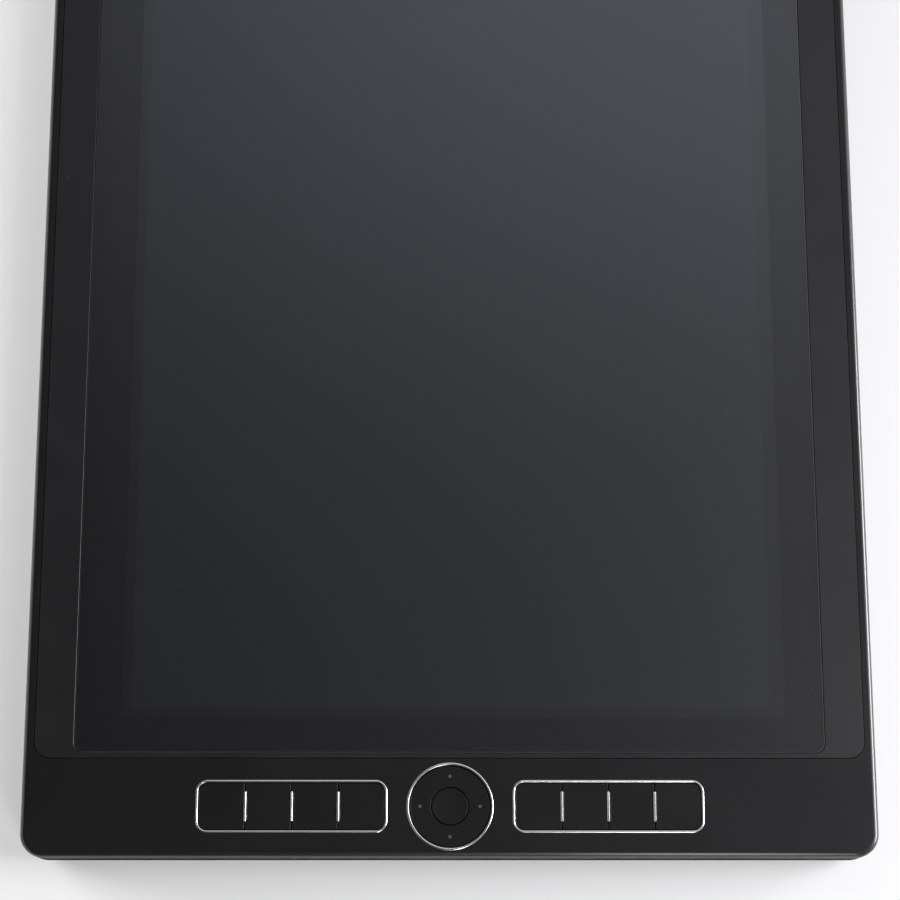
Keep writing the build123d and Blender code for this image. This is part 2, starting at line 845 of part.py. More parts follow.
def shortcut_key(side, y):
    """One key: cap, hidden flange and stem, notched for the divider bars beside it."""
    outer = key_pitch + key_flange_reach + rim_line_length
    edge = side * key_group_offset
    half = (key_pitch - key_split) / 2
    is_high_end = y > edge + (keys_per_group - 2) / 2 * key_pitch
    is_low_end = y < edge - (keys_per_group - 2) / 2 * key_pitch
    y0 = y - outer if is_low_end else y - half
    y1 = y + outer if is_high_end else y + half
    lane = block(-half_length, bezel_x0, y0, y1, 0, top_z + overrun)
    inset = -rim_line / 2 - running_gap
    cap = key_window(inset, key_flange_z0, top_z, side) & lane
    reach = key_flange_reach
    flange = key_window(reach, key_flange_z0, key_flange_z1, side) & lane
    part = cap + flange + rod(key_row_x, y, stem_z0, key_flange_z0, stem_radius)
    notch = SlotOverall(divider_length + 2 * running_gap, rim_line + 2 * running_gap)
    notch = extrude(notch, top_z - key_flange_z0 + 2 * overrun)
    for bar_y in divider_places():
        if abs(bar_y - y) < key_pitch:
            part -= Pos(key_row_x, bar_y, key_flange_z0 - overrun) * notch
    return chamfer(top_edges(part), key_chamfer)


def key_divider_bars():
    """Bright bars between the keys, standing on the key plate."""
    bars = []
    half = divider_length / 2
    foot = divider_foot_width / 2
    upright = extrude(SlotOverall(divider_length, rim_line), rim_z1 - key_plate_z1)
    upright = chamfer(top_edges(upright), rim_chamfer)
    for y in divider_places():
        bar = Pos(key_row_x, y, key_plate_z1) * upright
        foot_z1 = key_plate_z1 + divider_foot_height
        bar += block(key_row_x - half, key_row_x + half, y - foot, y + foot, key_plate_z1, foot_z1)
        bars.append(bar)
    return bars


def pivot_blocks(axis_is_x, z0, z1):
    """Two small blocks on either side of the gimbal, for its pins."""
    near = gimbal_outer_radius + post_gap
    far = near + post_thickness
    half = post_width / 2
    blocks = []
    for side in (-1, 1):
        low, high = sorted((side * near, side * far))
        if axis_is_x:
            blocks.append(block(key_row_x + low, key_row_x + high, -half, half, z0, z1))
        else:
            blocks.append(block(key_row_x - half, key_row_x + half, low, high, z0, z1))
    return blocks


def pivot_rods(axis_is_x, radius, near, far):
    """Two short rods on the pivot line, from near to far of the middle."""
    rods = []
    for side in (-1, 1):
        if axis_is_x:
            start = (key_row_x + side * near, 0, pivot_z)
            end = (key_row_x + side * far, 0, pivot_z)
        else:
            start = (key_row_x, side * near, pivot_z)
            end = (key_row_x, side * far, pivot_z)
        rods.append(rod_between(start, end, radius))
    return rods


def rocker_gimbal():
    """A small ring with four pins that lets the rocker tip both ways."""
    z0 = pivot_z - gimbal_height / 2
    z1 = pivot_z + gimbal_height / 2
    part = rod(key_row_x, 0, z0, z1, gimbal_outer_radius)
    part -= rod(key_row_x, 0, z0 - overrun, z1 + overrun, gimbal_inner_radius)
    near = (gimbal_inner_radius + gimbal_outer_radius) / 2
    far = gimbal_outer_radius + post_gap + post_thickness
    pins = pivot_rods(True, pivot_pin_radius, near, far) + pivot_rods(False, pivot_pin_radius, near, far)
    return part + pins


def rocker_ring():
    """The four-way ring, with its ears on the gimbal and four nubs over the domes."""
    part = rod(key_row_x, 0, rocker_z0, top_z, rocker_radius)
    part -= rod(key_row_x, 0, rocker_z0 - overrun, top_z + overrun, rocker_bore_radius)
    part = chamfer(top_edges(part), rocker_chamfer)
    both_ways = rocker_tilt * 2**0.5  # tipped about both axes at once
    lift = rocker_flange_radius * sin(radians(both_ways))
    flange = rod(key_row_x, 0, rocker_z0, plate_z - lift - running_gap / 2, rocker_flange_radius)
    reach = rocker_radius
    flange &= block(key_row_x - reach, key_row_x + reach, -half_width, half_width, 0, top_z)
    flange -= rod(key_row_x, 0, 0, top_z, rocker_bore_radius)
    part += flange
    part += pivot_blocks(False, pivot_z - ear_reach, rocker_z0)
    part += [rod(x, y, stem_z0, rocker_z0, nub_radius) for x, y in nub_places()]
    near = gimbal_outer_radius
    far = near + post_gap + post_thickness + overrun
    part -= pivot_rods(False, pivot_pin_radius + pivot_clearance, near, far)
    pocket = pip_radius + seat_gap
    return part - [rod(x, y, top_z - pip_depth, top_z + overrun, pocket) for x, y in pip_places()]


def pip_places():
    """The four light marks on the rocker."""
    r = pip_circle_radius
    return [(key_row_x + r, 0), (key_row_x, r), (key_row_x - r, 0), (key_row_x, -r)]


def ring_pips():
    """Four inlaid light marks."""
    return [rod(x, y, top_z - pip_depth, top_z + pip_proud, pip_radius) for x, y in pip_places()]


def ring_rim():
    """The bright ring round the rocker."""
    outer = rocker_rim_radius + rocker_rim_line / 2
    inner = rocker_rim_radius - rocker_rim_line / 2
    part = rod(key_row_x, 0, rim_z0, rim_z1, outer)
    part -= rod(key_row_x, 0, rim_z0 - overrun, rim_z1 + overrun, inner)
    return chamfer(top_edges(part), rim_chamfer)


def home_button():
    """The dished button in the middle of the rocker, with its flange and stem."""
    flange_z1 = rocker_z0 - home_flange_gap
    flange_z0 = flange_z1 - home_flange_thickness
    cap = rod(key_row_x, 0, flange_z0, top_z, home_radius)
    cap = chamfer(top_edges(cap), home_chamfer)
    part = cap + rod(key_row_x, 0, flange_z0, flange_z1, rocker_bore_radius + home_flange_reach)
    part += rod(key_row_x, 0, stem_z0, flange_z0, stem_radius)
    bowl = (home_dish_radius**2 + home_dish_depth**2) / (2 * home_dish_depth)
    return part - Pos(key_row_x, 0, top_z + bowl - home_dish_depth) * Sphere(bowl)


def stem_places():
    """Where the stems of the keys and of the home button go through the key plate."""
    return [(key_row_x, y) for side, y in key_places()] + [(key_row_x, 0)]


def key_plate():
    """The plate that guides the stems, with the posts of the gimbal and legs for the key board."""
    part = block(plate_x0, plate_x1, -plate_half_y, plate_half_y, key_plate_z0, key_plate_z1)
    post_z1 = pivot_z + pivot_pin_radius + pivot_clearance + post_cover
    part += pivot_blocks(True, key_plate_z0, post_z1)
    part += [rod(x, y, sheet_z1, key_plate_z1, key_boss_radius) for x, y in key_boss_places()]
    near = gimbal_outer_radius
    far = near + post_gap + post_thickness + overrun
    cuts = pivot_rods(True, pivot_pin_radius + pivot_clearance, near, far)
    stem_hole = stem_radius + running_gap
    cuts += [rod(x, y, 0, key_plate_z1 + overrun, stem_hole) for x, y in stem_places()]
    nub_hole = nub_radius + running_gap
    cuts += [rod(x, y, 0, key_plate_z1 + overrun, nub_hole) for x, y in nub_places()]
    hole = key_screw_radius + screw_clearance
    cuts += [rod(x, y, 0, key_plate_z1 + overrun, hole) for x, y in key_boss_places()]
    return part - cuts


def dome_sheet():
    """Thin sheet with one dome under each stem and nub."""
    part = block(plate_x0, plate_x1, -plate_half_y, plate_half_y, key_board_z1, sheet_z1)
    rise = dome_z - sheet_z1
    ball = (dome_radius**2 + rise**2) / (2 * rise)
    cap = Sphere(ball) & block(-ball, ball, -ball, ball, ball - rise, ball)
    part += [Pos(x, y, dome_z - ball) * cap for x, y in stem_places() + nub_places()]
    hole = key_screw_radius + screw_clearance
    return part - [rod(x, y, 0, sheet_z1 + overrun, hole) for x, y in key_boss_places()]


def key_board():
    """The circuit board under the domes, with the socket of its ribbon."""
    part = block(plate_x0, plate_x1, -plate_half_y, plate_half_y, key_board_z0, key_board_z1)
    hole = key_screw_radius + screw_clearance
    return part - [rod(x, y, 0, key_board_z1 + overrun, hole) for x, y in key_boss_places()]


def small_screw(x, y, seat_z, end_z):
    """A small screw with its head under seat_z."""
    head = rod(x, y, seat_z - key_screw_head_height, seat_z, key_screw_head_radius)
    return head + rod(x, y, seat_z, end_z, key_screw_radius)


def key_screws():
    """Screws through the key board and the key plate into the front housing."""
    end_z = key_plate_z1 + key_screw_engagement
    return [small_screw(x, y, key_board_z0, end_z) for x, y in key_boss_places()]


# Electronics


def main_board():
    """The main board, with its memory chips and the sockets of the cards and ribbons."""
    part = block(board_x0, board_x1, board_y0, board_y1, board_z0, board_z1)
    chip = chip_size / 2
    for n in range(2):
        x = pipe_x + (n - 1 / 2) * 2 * chip_size
        y = processor_y() + processor_width + chip_size
        part += block(x - chip, x + chip, y - chip, y + chip, board_z1, board_z1 + chip_height)
    for x, y in card_places():
        socket_x1 = x + board_screw_inset
        lift = board_z1 + card_lift
        part += block(x, socket_x1, y - card_width / 2, y + card_width / 2, board_z1, lift)
    x0, x1, y0, y1 = display_slot()
    part += block(x0 - chip_size, x0, y0, y1, board_z1, board_z1 + chip_height)
    hole = key_screw_radius + screw_clearance
    return part - [rod(x, y, 0, board_z1 + overrun, hole) for x, y in board_screw_places()]


def board_screws():
    """Screws through the main board into the mid frame."""
    end_z = board_z1 + key_screw_engagement
    return [small_screw(x, y, board_z0, end_z) for x, y in board_screw_places()]


def processor_y():
    """The middle of the processor along Y."""
    return board_y0 + processor_drop


def plate_on_board(length, width, z0, z1):
    """A flat block on the middle of the processor."""
    y = processor_y()
    return block(pipe_x - length / 2, pipe_x + length / 2, y - width / 2, y + width / 2, z0, z1)


def processor():
    """The processor package."""
    return plate_on_board(processor_length, processor_width, board_z1, board_z1 + processor_height)


def cold_plate():
    """The copper plate on the processor."""
    grow = 2 * cold_plate_overhang
    z0 = board_z1 + processor_height
    return plate_on_board(processor_length + grow, processor_width + grow, z0, pipe_z0)


def heat_pipes():
    """Two flat pipes that run between the fans and turn away over the fins."""
    pipes = []
    for side, fan_x in ((-1, fan_x0), (1, fan_x1)):
        x = pipe_x + side * pipe_pitch / 2
        start = (x, processor_y() + processor_width / 2)
        corner = (x, fin_y)
        end = (fan_x + side * fan_outlet_width / 2, fin_y)
        path = FilletPolyline(start, corner, end, radius=pipe_bend)
        pipes.append(Pos(0, 0, pipe_z0) * extrude(trace(path, pipe_width), pipe_height))
    return pipes


def heat_fins():
    """Two combs of fins under the ends of the pipes."""
    stacks = []
    half = fan_outlet_width / 2
    depth = fin_depth / 2
    count = int(half / fin_pitch)
    for x in fan_xs:
        top = pipe_z0 - fin_thickness
        stack = block(x - half, x + half, fin_y - depth, fin_y + depth, top, pipe_z0)
        fins = []
        for n in range(-count, count + 1):
            middle = x + n * (fan_outlet_width - fin_thickness) / 2 / count
            thin = fin_thickness / 2
            fins.append(block(middle - thin, middle + thin, fin_y - depth, fin_y + depth, fan_z0, top))
        stacks.append(stack + fins)
    return stacks


def fan_housing(x):
    """A flat blower housing, hung from the mid frame, with the pin of its rotor."""
    half = fan_size / 2
    part = rounded(x - half, x + half, fan_y - half, fan_y + half, fan_z0, frame_z0, fan_corner)
    z0 = fan_z0 + fan_plate
    z1 = frame_z0 - fan_plate
    part -= rod(x, fan_y, z0, z1, half - fan_wall)
    reach = fan_outlet_width / 2
    part -= block(x - reach, x + reach, fan_y - half - overrun, fan_y, z0, z1)
    part -= rod(x, fan_y, fan_z0 - overrun, z0 + overrun, fan_inlet_radius)
    return part + rod(x, fan_y, z0 + hub_gap + hub_floor + running_gap, z1, fan_pin_radius)


def fan_rotor(x):
    """Hub and swept blades, turning on the pin of the housing."""
    z0 = fan_z0 + fan_plate + hub_gap
    z1 = frame_z0 - fan_plate - hub_gap
    part = rod(0, 0, z0, z1, hub_radius)
    part += rod(0, 0, z1 - blade_thickness, z1, blade_radius)
    length = blade_radius - hub_radius
    blade = block(0, length, -blade_thickness / 2, blade_thickness / 2, z0, z1)
    blade = Pos(hub_radius - blade_thickness, 0, 0) * Rot(0, 0, blade_sweep) * blade
    part += [Rot(0, 0, 360 * n / blade_count) * blade for n in range(blade_count)]
    part -= rod(0, 0, z0 + hub_floor, z1 + overrun, fan_pin_radius + fan_bore_clearance)
    return Pos(x, fan_y, 0) * part


def battery_cells():
    """Flat cells on the floor, between the key panel and the main board."""
    x0 = bezel_x0 + battery_margin
    x1 = board_x0 - battery_margin
    reach = cover_screw_y - boss_radius - battery_gap
    length = (x1 - x0 - (battery_count - 1) * battery_gap) / battery_count
    width = (2 * reach - (battery_count - 1) * battery_gap) / battery_count
    cells = []
    for i in range(battery_count):
        for j in range(battery_count):
            x = x0 + i * (length + battery_gap)
            y = j * (width + battery_gap) - reach
            top = frame_z0 - battery_headroom
            cells.append(rounded(x, x + length, y, y + width, floor_z, top, battery_corner))
    return cells


def card_places():
    """The socket end of each card, on the board behind the memory chips."""
    x = board_x0 + board_screw_inset
    y = board_y1 - 2 * board_screw_inset - card_width / 2
    return [(x, y - card_width - card_spacing), (x, y)]


def plug_in_card(place, length):
    """A card with two chips, held by its socket on the main board."""
    x, y = place
    half = card_width / 2
    z0 = board_z1 + card_lift
    z1 = z0 + card_thickness
    part = block(x, x + length, y - half, y + half, z0, z1)
    chip = chip_size / 2
    for share in (1 / 3, 2 / 3):
        middle = x + share * length
        part += block(middle - chip / 2, middle + chip / 2, y - chip, y + chip, z1, z1 + chip_height)
    return part


def speaker(x, y):
    """A flat speaker on the floor, over its slots."""
    half_x = speaker_width / 2
    half_y = (speaker_y1 - speaker_y0) / 2
    top = floor_z + speaker_height
    return rounded(x - half_x, x + half_x, y - half_y, y + half_y, floor_z, top, speaker_corner)


def ribbon(points, y0, y1):
    """A folded flat cable, drawn from the side and given its width along Y."""
    path = FilletPolyline(points, radius=ribbon_bend)
    face = trace(path, ribbon_thickness)
    plane = Plane(origin=(0, y1, 0), x_dir=(1, 0, 0), z_dir=(0, -1, 0))
    return extrude(plane * face, y1 - y0)


def key_cable():
    """Ribbon from the key board, under the mid frame, down to the main board."""
    half = ribbon_thickness / 2
    x0 = plate_x1 - board_screw_inset
    x1 = board_x0 + board_screw_inset
    low = key_board_z0 - half
    high = frame_z0 - ribbon_gap - half
    end = board_z1 + half
    step = 2 * board_screw_inset
    points = [(x0, low), (plate_x1 + ribbon_gap, low), (bezel_x0, high), (x1 - step, high)]
    points += [(x1 - board_screw_inset, end), (x1 + board_screw_inset, end)]
    return ribbon(points, -key_ribbon_width / 2, key_ribbon_width / 2)


def display_slot():
    """Corners, in plan, of the slot in the mid frame where the display's ribbon goes through."""
    x0 = cell_x1 + tray_gap + tray_wall + 2 * ribbon_gap
    x1 = x0 + 2 * ribbon_bend + 2 * ribbon_thickness
    y0 = slot_offset + slot_width / 2 + slot_shell + slot_ribbon_gap
    return x0, x1, y0, y0 + display_ribbon_width


def display_cable():
    """Ribbon from the tray's end wall, down through the mid frame to the main board."""
    x0, x1, y0, y1 = display_slot()
    half = ribbon_thickness / 2
    x = (x0 + x1) / 2
    wall = cell_x1 + tray_gap + tray_wall
    high = (sensor_z1 + cell_z0) / 2
    low = board_z1 + chip_height + half
    points = [(wall, high), (x, high), (x, low), (x0 - chip_size / 2, low)]
    return ribbon(points, y0 + ribbon_gap, y1 - ribbon_gap)


# Ports on the far end


def data_ports():
    """Small reversible ports, each a shell with a tongue."""
    ports = []
    x1 = half_length - port_recess
    x0 = x1 - port_depth
    for y in port_places():
        port = slot_along_x(x0, x1, y, port_z, port_width, port_height)
        inner_w = port_width - 2 * port_shell
        inner_h = port_height - 2 * port_shell
        port -= slot_along_x(x0 + port_recess, x1 + overrun, y, port_z, inner_w, inner_h)
        half_w = port_tongue_width / 2
        half_h = port_tongue_height / 2
        tongue_x1 = x1 - port_recess
        port += block(x0, tongue_x1, y - half_w, y + half_w, port_z - half_h, port_z + half_h)
        ports.append(port)
    return ports


def headphone_jack():
    """A block on the board, with a nose in the opening of the cover and a blind bore."""
    x1 = inner_x - jack_wall_gap
    x0 = x1 - jack_bore_depth - jack_back
    half = jack_width / 2
    part = block(x0, x1, jack_offset - half, jack_offset + half, board_z1, board_z1 + jack_height)
    nose_x1 = half_length - jack_nose_recess
    nose = rod_between(
        (x1, jack_offset, jack_z), (nose_x1, jack_offset, jack_z), jack_opening_radius - jack_nose_gap
    )
    start = (x0 + jack_back, jack_offset, jack_z)
    end = (nose_x1 + overrun, jack_offset, jack_z)
    return part + nose - rod_between(start, end, jack_bore_radius)


def card_slot():
    """A flat metal cage for a memory card."""
    x1 = inner_x - jack_wall_gap
    x0 = x1 - slot_depth
    half = slot_width / 2
    z0 = slot_z - slot_height / 2
    z1 = slot_z + slot_height / 2
    y0 = slot_offset - half
    y1 = slot_offset + half
    part = block(x0, x1, y0 - slot_shell, y1 + slot_shell, z0 - slot_shell, z1 + slot_shell)
    return part - block(x0 + slot_shell, x1 + overrun, y0, y1, z0, z1)


# Buttons on the long edge


def pressed_cap(x, length, flange_y1):
    """A slot-shaped cap that fills its opening, with a wider flange inside."""
    flange_y0 = flange_y1 - button_flange_thickness
    cap = slot_along_y(flange_y0, half_width, x, button_z, length, button_height)
    wide = length + 2 * button_flange_reach + 2 * running_gap
    tall = button_height + 2 * button_flange_reach
    return cap + slot_along_y(flange_y0, flange_y1, x, button_z, wide, tall)


def power_button():
    """Cap, flange and plunger."""
    flange_y1 = inner_y - running_gap
    part = pressed_cap(power_offset, power_length, flange_y1)
    start = (power_offset, plunger_y, button_z)
    end = (power_offset, flange_y1, button_z)
    return part + rod_between(start, end, plunger_radius)


def volume_rocker():
    """A long cap that tips about an upright pin, with a plunger near each end."""
    lift = (volume_length / 2 + button_flange_reach) * sin(radians(volume_tilt))
    flange_y1 = inner_y - lift - running_gap
    part = pressed_cap(volume_offset, volume_length, flange_y1)
    pin_y = half_width - volume_pivot_depth
    half = volume_lug_length / 2
    depth = volume_lug_depth / 2
    tall = button_height / 2
    x0 = volume_offset - half
    x1 = volume_offset + half
    part += block(x0, x1, pin_y - depth, pin_y + depth, button_z - tall, button_z + tall)
    for side in (-1, 1):
        x = volume_offset + side * switch_spread
        part += rod_between((x, plunger_y, button_z), (x, flange_y1, button_z), plunger_radius)
    bore = volume_pin_radius + pivot_clearance
    return part - rod(volume_offset, pin_y, 0, top_z, bore)


def rotation_lock():
    """A small slider with a grip line, longer inside than its slot."""
    flange_y1 = inner_y - running_gap
    x = lock_slider_offset
    flange_y0 = flange_y1 - button_flange_thickness
    part = slot_along_y(flange_y0, half_width, x, button_z, slider_length, button_height)
    reach = slider_length / 2 + slider_travel + button_flange_reach + running_gap
    tall = button_height / 2 + button_flange_reach
    part += block(x - reach, x + reach, flange_y0, flange_y1, button_z - tall, button_z + tall)
    for n in (-1, 0, 1):
        groove_x = x + n * slider_length / 4
        y0 = half_width - slider_grip
        half = slider_grip / 2
        part -= block(groove_x - half, groove_x + half, y0, half_width + overrun, 0, top_z)
    return part


def side_board_span():
    """The ends, along X, of the board behind the buttons."""
    x0 = lock_slider_offset - side_board_margin
    x1 = power_offset + power_length / 2 + side_board_margin
    return x0, x1


def side_button_board():
    """The upright board behind the buttons, with a switch for each press."""
    x0, x1 = side_board_span()
    half = button_height / 2
    y0 = side_board_y - side_board_thickness
    part = block(x0, x1, y0, side_board_y, button_z - half, button_z + half)
    wide = switch_width / 2
    xs = [power_offset, volume_offset - switch_spread, volume_offset + switch_spread]
    for x in xs:
        y1 = side_board_y + switch_height
        part += block(x - wide, x + wide, side_board_y, y1, button_z - wide / 2, button_z + wide / 2)
    return part


def button_bracket():
    """Folded bracket that hangs from the mid frame, with the pin of the volume rocker."""
    x0, x1 = side_board_span()
    y1 = side_board_y - side_board_thickness
    y0 = y1 - bracket_thickness
    arm_z1 = button_z - button_height / 2 - button_flange_reach - running_gap
    arm_z0 = arm_z1 - bracket_thickness
    part = block(x0, x1, y0, y1, arm_z0, frame_z0)
    part += block(x0, x1, y0 - bracket_tab, y1, frame_z0 - bracket_thickness, frame_z0)
    pin_y = half_width - volume_pivot_depth
    half = volume_lug_length / 2
    arm_y1 = pin_y + 2 * volume_pin_radius
    part += block(volume_offset - half, volume_offset + half, y0, arm_y1, arm_z0, arm_z1)
    return part + rod(volume_offset, pin_y, arm_z0, button_z + button_height / 2, volume_pin_radius)


# Every node of the tablet, written to its own file

nodes = {
    "front_housing": front_housing(),
    "rear_cover": rear_cover(),
    "rubber_feet": rubber_feet(),
    "cover_screws": cover_screws(),
    "lock_insert": lock_insert(),
    "display_bezel": display_bezel(),
    "cover_glass": cover_glass(),
    "border_mask": border_mask(),
    "display_gasket": display_gasket(),
    "lcd_cell": lcd_cell(),
    "backlight_unit": backlight_unit(),
    "lcd_chassis": lcd_chassis(),
    "digitizer_board": digitizer_board(),
    "mid_frame": mid_frame(),
    "key_rim_top": key_rim(1),
    "key_rim_bottom": key_rim(-1),
    "key_divider_bars": key_divider_bars(),
    "rocker_gimbal": rocker_gimbal(),
    "rocker_ring": rocker_ring(),
    "ring_pips": ring_pips(),
    "ring_rim": ring_rim(),
    "home_button": home_button(),
    "key_plate": key_plate(),
    "dome_sheet": dome_sheet(),
    "key_board": key_board(),
    "key_screws": key_screws(),
    "main_board": main_board(),
    "board_screws": board_screws(),
    "processor": processor(),
    "cold_plate": cold_plate(),
    "heat_pipes": heat_pipes(),
    "heat_fins": heat_fins(),
    "battery_cells": battery_cells(),
    "storage_card": plug_in_card(card_places()[0], storage_card_length),
    "wireless_card": plug_in_card(card_places()[1], wireless_card_length),
    "key_cable": key_cable(),
    "display_cable": display_cable(),
    "data_ports": data_ports(),
    "headphone_jack": headphone_jack(),
    "card_slot": card_slot(),
    "power_button": power_button(),
    "volume_rocker": volume_rocker(),
    "rotation_lock": rotation_lock(),
    "side_button_board": side_button_board(),
    "button_bracket": button_bracket(),
}
for n, (side, y) in enumerate(key_places(), start=1):
    nodes[f"shortcut_key_{n}"] = shortcut_key(side, y)
for n, x in enumerate(fan_xs, start=1):
    nodes[f"fan_housing_{n}"] = fan_housing(x)
    nodes[f"fan_rotor_{n}"] = fan_rotor(x)
for n, (x, y) in enumerate(speaker_places(), start=1):
    nodes[f"speaker_{n}"] = speaker(x, y)

os.makedirs("parts", exist_ok=True)
for name, shape in nodes.items():
    if isinstance(shape, list):
        shape = Compound(children=[Solid(piece.solid().wrapped) for piece in shape])
    export_step(shape, f"parts/{name}.step")
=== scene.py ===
# %% [markdown]
# A graphics tablet with its own screen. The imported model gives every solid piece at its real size
# and place. This lesson adds what the eye reads: a camera, plain light, a finish for every piece,
# and the small parts that show only from close by.

# %% Load the tablet
import json
from math import cos, radians, sin

import bmesh
import bpy
from mathutils import Matrix, Vector

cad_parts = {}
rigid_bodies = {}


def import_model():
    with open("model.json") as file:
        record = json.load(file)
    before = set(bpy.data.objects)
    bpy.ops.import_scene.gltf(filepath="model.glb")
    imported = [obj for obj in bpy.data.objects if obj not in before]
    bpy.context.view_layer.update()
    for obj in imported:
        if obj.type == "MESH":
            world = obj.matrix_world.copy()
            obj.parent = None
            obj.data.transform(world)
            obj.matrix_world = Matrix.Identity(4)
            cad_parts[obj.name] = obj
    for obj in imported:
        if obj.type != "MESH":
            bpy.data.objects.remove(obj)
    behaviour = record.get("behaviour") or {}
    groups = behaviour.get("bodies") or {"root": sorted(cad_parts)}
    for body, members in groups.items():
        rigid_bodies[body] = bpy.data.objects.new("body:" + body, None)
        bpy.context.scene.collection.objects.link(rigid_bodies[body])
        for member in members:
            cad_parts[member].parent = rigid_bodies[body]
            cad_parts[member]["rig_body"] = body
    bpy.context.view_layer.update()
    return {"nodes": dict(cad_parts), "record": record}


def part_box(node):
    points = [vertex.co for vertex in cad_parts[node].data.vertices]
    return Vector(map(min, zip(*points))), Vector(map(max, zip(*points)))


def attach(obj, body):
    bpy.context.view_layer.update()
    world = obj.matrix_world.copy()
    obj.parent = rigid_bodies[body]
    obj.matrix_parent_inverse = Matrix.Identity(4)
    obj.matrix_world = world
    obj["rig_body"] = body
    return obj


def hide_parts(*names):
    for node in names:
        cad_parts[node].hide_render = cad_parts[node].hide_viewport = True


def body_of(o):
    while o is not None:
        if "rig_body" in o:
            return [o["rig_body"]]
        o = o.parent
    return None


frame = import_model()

MM = 0.001  # the frame is in metres, and sizes here are written in millimetres
nodes = frame["nodes"]
print("pieces loaded:", len(nodes))

# %% [markdown]
# The photograph was taken from above the key end, with a long lens, tilted a little towards the far
# end. A camera can be aimed with a constraint, but here its three axes are written as the columns
# of a matrix, because the tilt, the yaw and the roll of the real camera are known as angles.

# %% Camera
image_size = 900
focal_pixels = 2336
sensor_width = 36
camera_place = Vector((-255.0, 5.8, 737.75)) * MM
camera_tilt = radians(13.56)
camera_yaw = radians(-1.93)
camera_roll = radians(1.96)

lens = bpy.data.cameras.new("camera")
lens.sensor_width = sensor_width
lens.lens = focal_pixels / image_size * sensor_width
lens.clip_start = 0.01
camera = bpy.data.objects.new("camera", lens)
bpy.context.collection.objects.link(camera)
level_way = Vector((cos(camera_yaw), sin(camera_yaw), 0))
down = Vector((0, 0, -1))
ahead = sin(camera_tilt) * level_way + cos(camera_tilt) * down
above = cos(camera_tilt) * level_way - sin(camera_tilt) * down
sideways = ahead.cross(above)
turn = Matrix((sideways, above, -ahead)).transposed().to_4x4()
roll = Matrix.Rotation(camera_roll, 4, "Z")
camera.matrix_world = Matrix.Translation(camera_place) @ turn @ roll
bpy.context.scene.camera = camera
bpy.context.scene.view_settings.view_transform = "Standard"
print("lens in millimetres:", round(lens.lens, 2))

# %% [markdown]
# Soft light makes a matt black object readable: large lamps give broad reflections that show the
# curve of each edge. A panel high on the right makes the black plastic lighter on that side, and
# one low on the right lights the paper there. A third, low on the left, keeps the tablet's shadow
# as faint as in the photograph. It gives no shine, because in the photograph no bright line runs
# down the left edge. A tall narrow panel in front of the key end lightens the rounded edge there.


# %% Lamps
def panel_lamp(name, place, target, width, height, power, colour=(1, 1, 1)):
    """A flat lamp that faces a point, with its width level."""
    data = bpy.data.lights.new(name, "AREA")
    data.shape = "RECTANGLE"
    data.size = width
    data.size_y = height
    data.energy = power
    data.color = colour
    lamp = bpy.data.objects.new(name, data)
    bpy.context.collection.objects.link(lamp)
    lamp.location = place
    lamp.rotation_euler = (Vector(target) - Vector(place)).to_track_quat("-Z", "Y").to_euler()
    lamp.visible_camera = False
    return lamp


panel_lamp("right_high", place=(-0.15, -0.7, 0.88), target=(-0.1, 0, 0),
           width=0.5, height=0.4, power=3.8, colour=(0.97, 0.98, 1.03))
panel_lamp("right_low", place=(-0.1, -0.9, 0.35), target=(-0.1, 0, 0),
           width=0.6, height=0.3, power=10.6, colour=(0.98, 0.99, 1.02))
panel_lamp("front_strip", place=(-0.65, -0.145, 0.4), target=(-0.209, -0.09, 0.015),
           width=0.12, height=0.5, power=1.0)
shadow_lamp = panel_lamp("left_low", place=(0.25, 0.95, 0.26), target=(0.05, 0.1, 0),
                         width=0.6, height=0.25, power=13.5)
shadow_lamp.visible_glossy = False

# %% [markdown]
# A new tree of shader nodes needs the same few steps each time: add a node, set its options, and
# join or fill its inputs. One small helper does the three. Four others put it to use for the steps
# that come back most, so that the trees below read as a list.


# %% Helpers for shader nodes
def put(tree, kind, inputs=None, **options):
    """Adds a node, sets its options, then fills or links its inputs by name or number."""
    made = tree.nodes.new(kind)
    for option, value in options.items():
        setattr(made, option, value)
    for key, value in (inputs or {}).items():
        if isinstance(value, bpy.types.NodeSocket):
            tree.links.new(value, made.inputs[key])
        else:
            made.inputs[key].default_value = value
    return made


def maths(tree, operation, *values):
    """One step of arithmetic on numbers or sockets."""
    return put(tree, "ShaderNodeMath", dict(enumerate(values)), operation=operation).outputs[0]


def ramp(tree, value, start, end, low=0.0, high=1.0, **options):
    """Goes from low to high while a value goes from start to end."""
    inputs = {"Value": value, "From Min": start, "From Max": end, "To Min": low, "To Max": high}
    return put(tree, "ShaderNodeMapRange", inputs, **options).outputs[0]


def blend(tree, mask, low, high):
    """A value that goes from low to high with a mask."""
    mixed = put(tree, "ShaderNodeMix", {"Factor": mask, 2: low, 3: high}, data_type="FLOAT")
    return mixed.outputs[0]


def blend_colour(tree, mask, low, high):
    """A colour that goes from low to high with a mask."""
    mixed = put(tree, "ShaderNodeMix", {"Factor": mask, 6: low, 7: high}, data_type="RGBA")
    return mixed.outputs[2]


def grey(level, warmth=0.0):
    """A nearly neutral colour, written as one level and a lean to warm or cool."""
    return (level * (1 + warmth), level, level * (1 - warmth), 1)


# %% [markdown]
# Shiny surfaces need something to reflect: a mirror that meets one even grey looks flat. For glossy
# rays the world is a room: pale near the horizon, dim overhead, with a lighter, cooler far end,
# brighter on the right and dark at the key end. Nothing in it is brighter than white. In the world,
# Generated coordinates are the direction of the ray, so each part of the room is a range of a ray's
# lean to the far end, to the left or upwards.

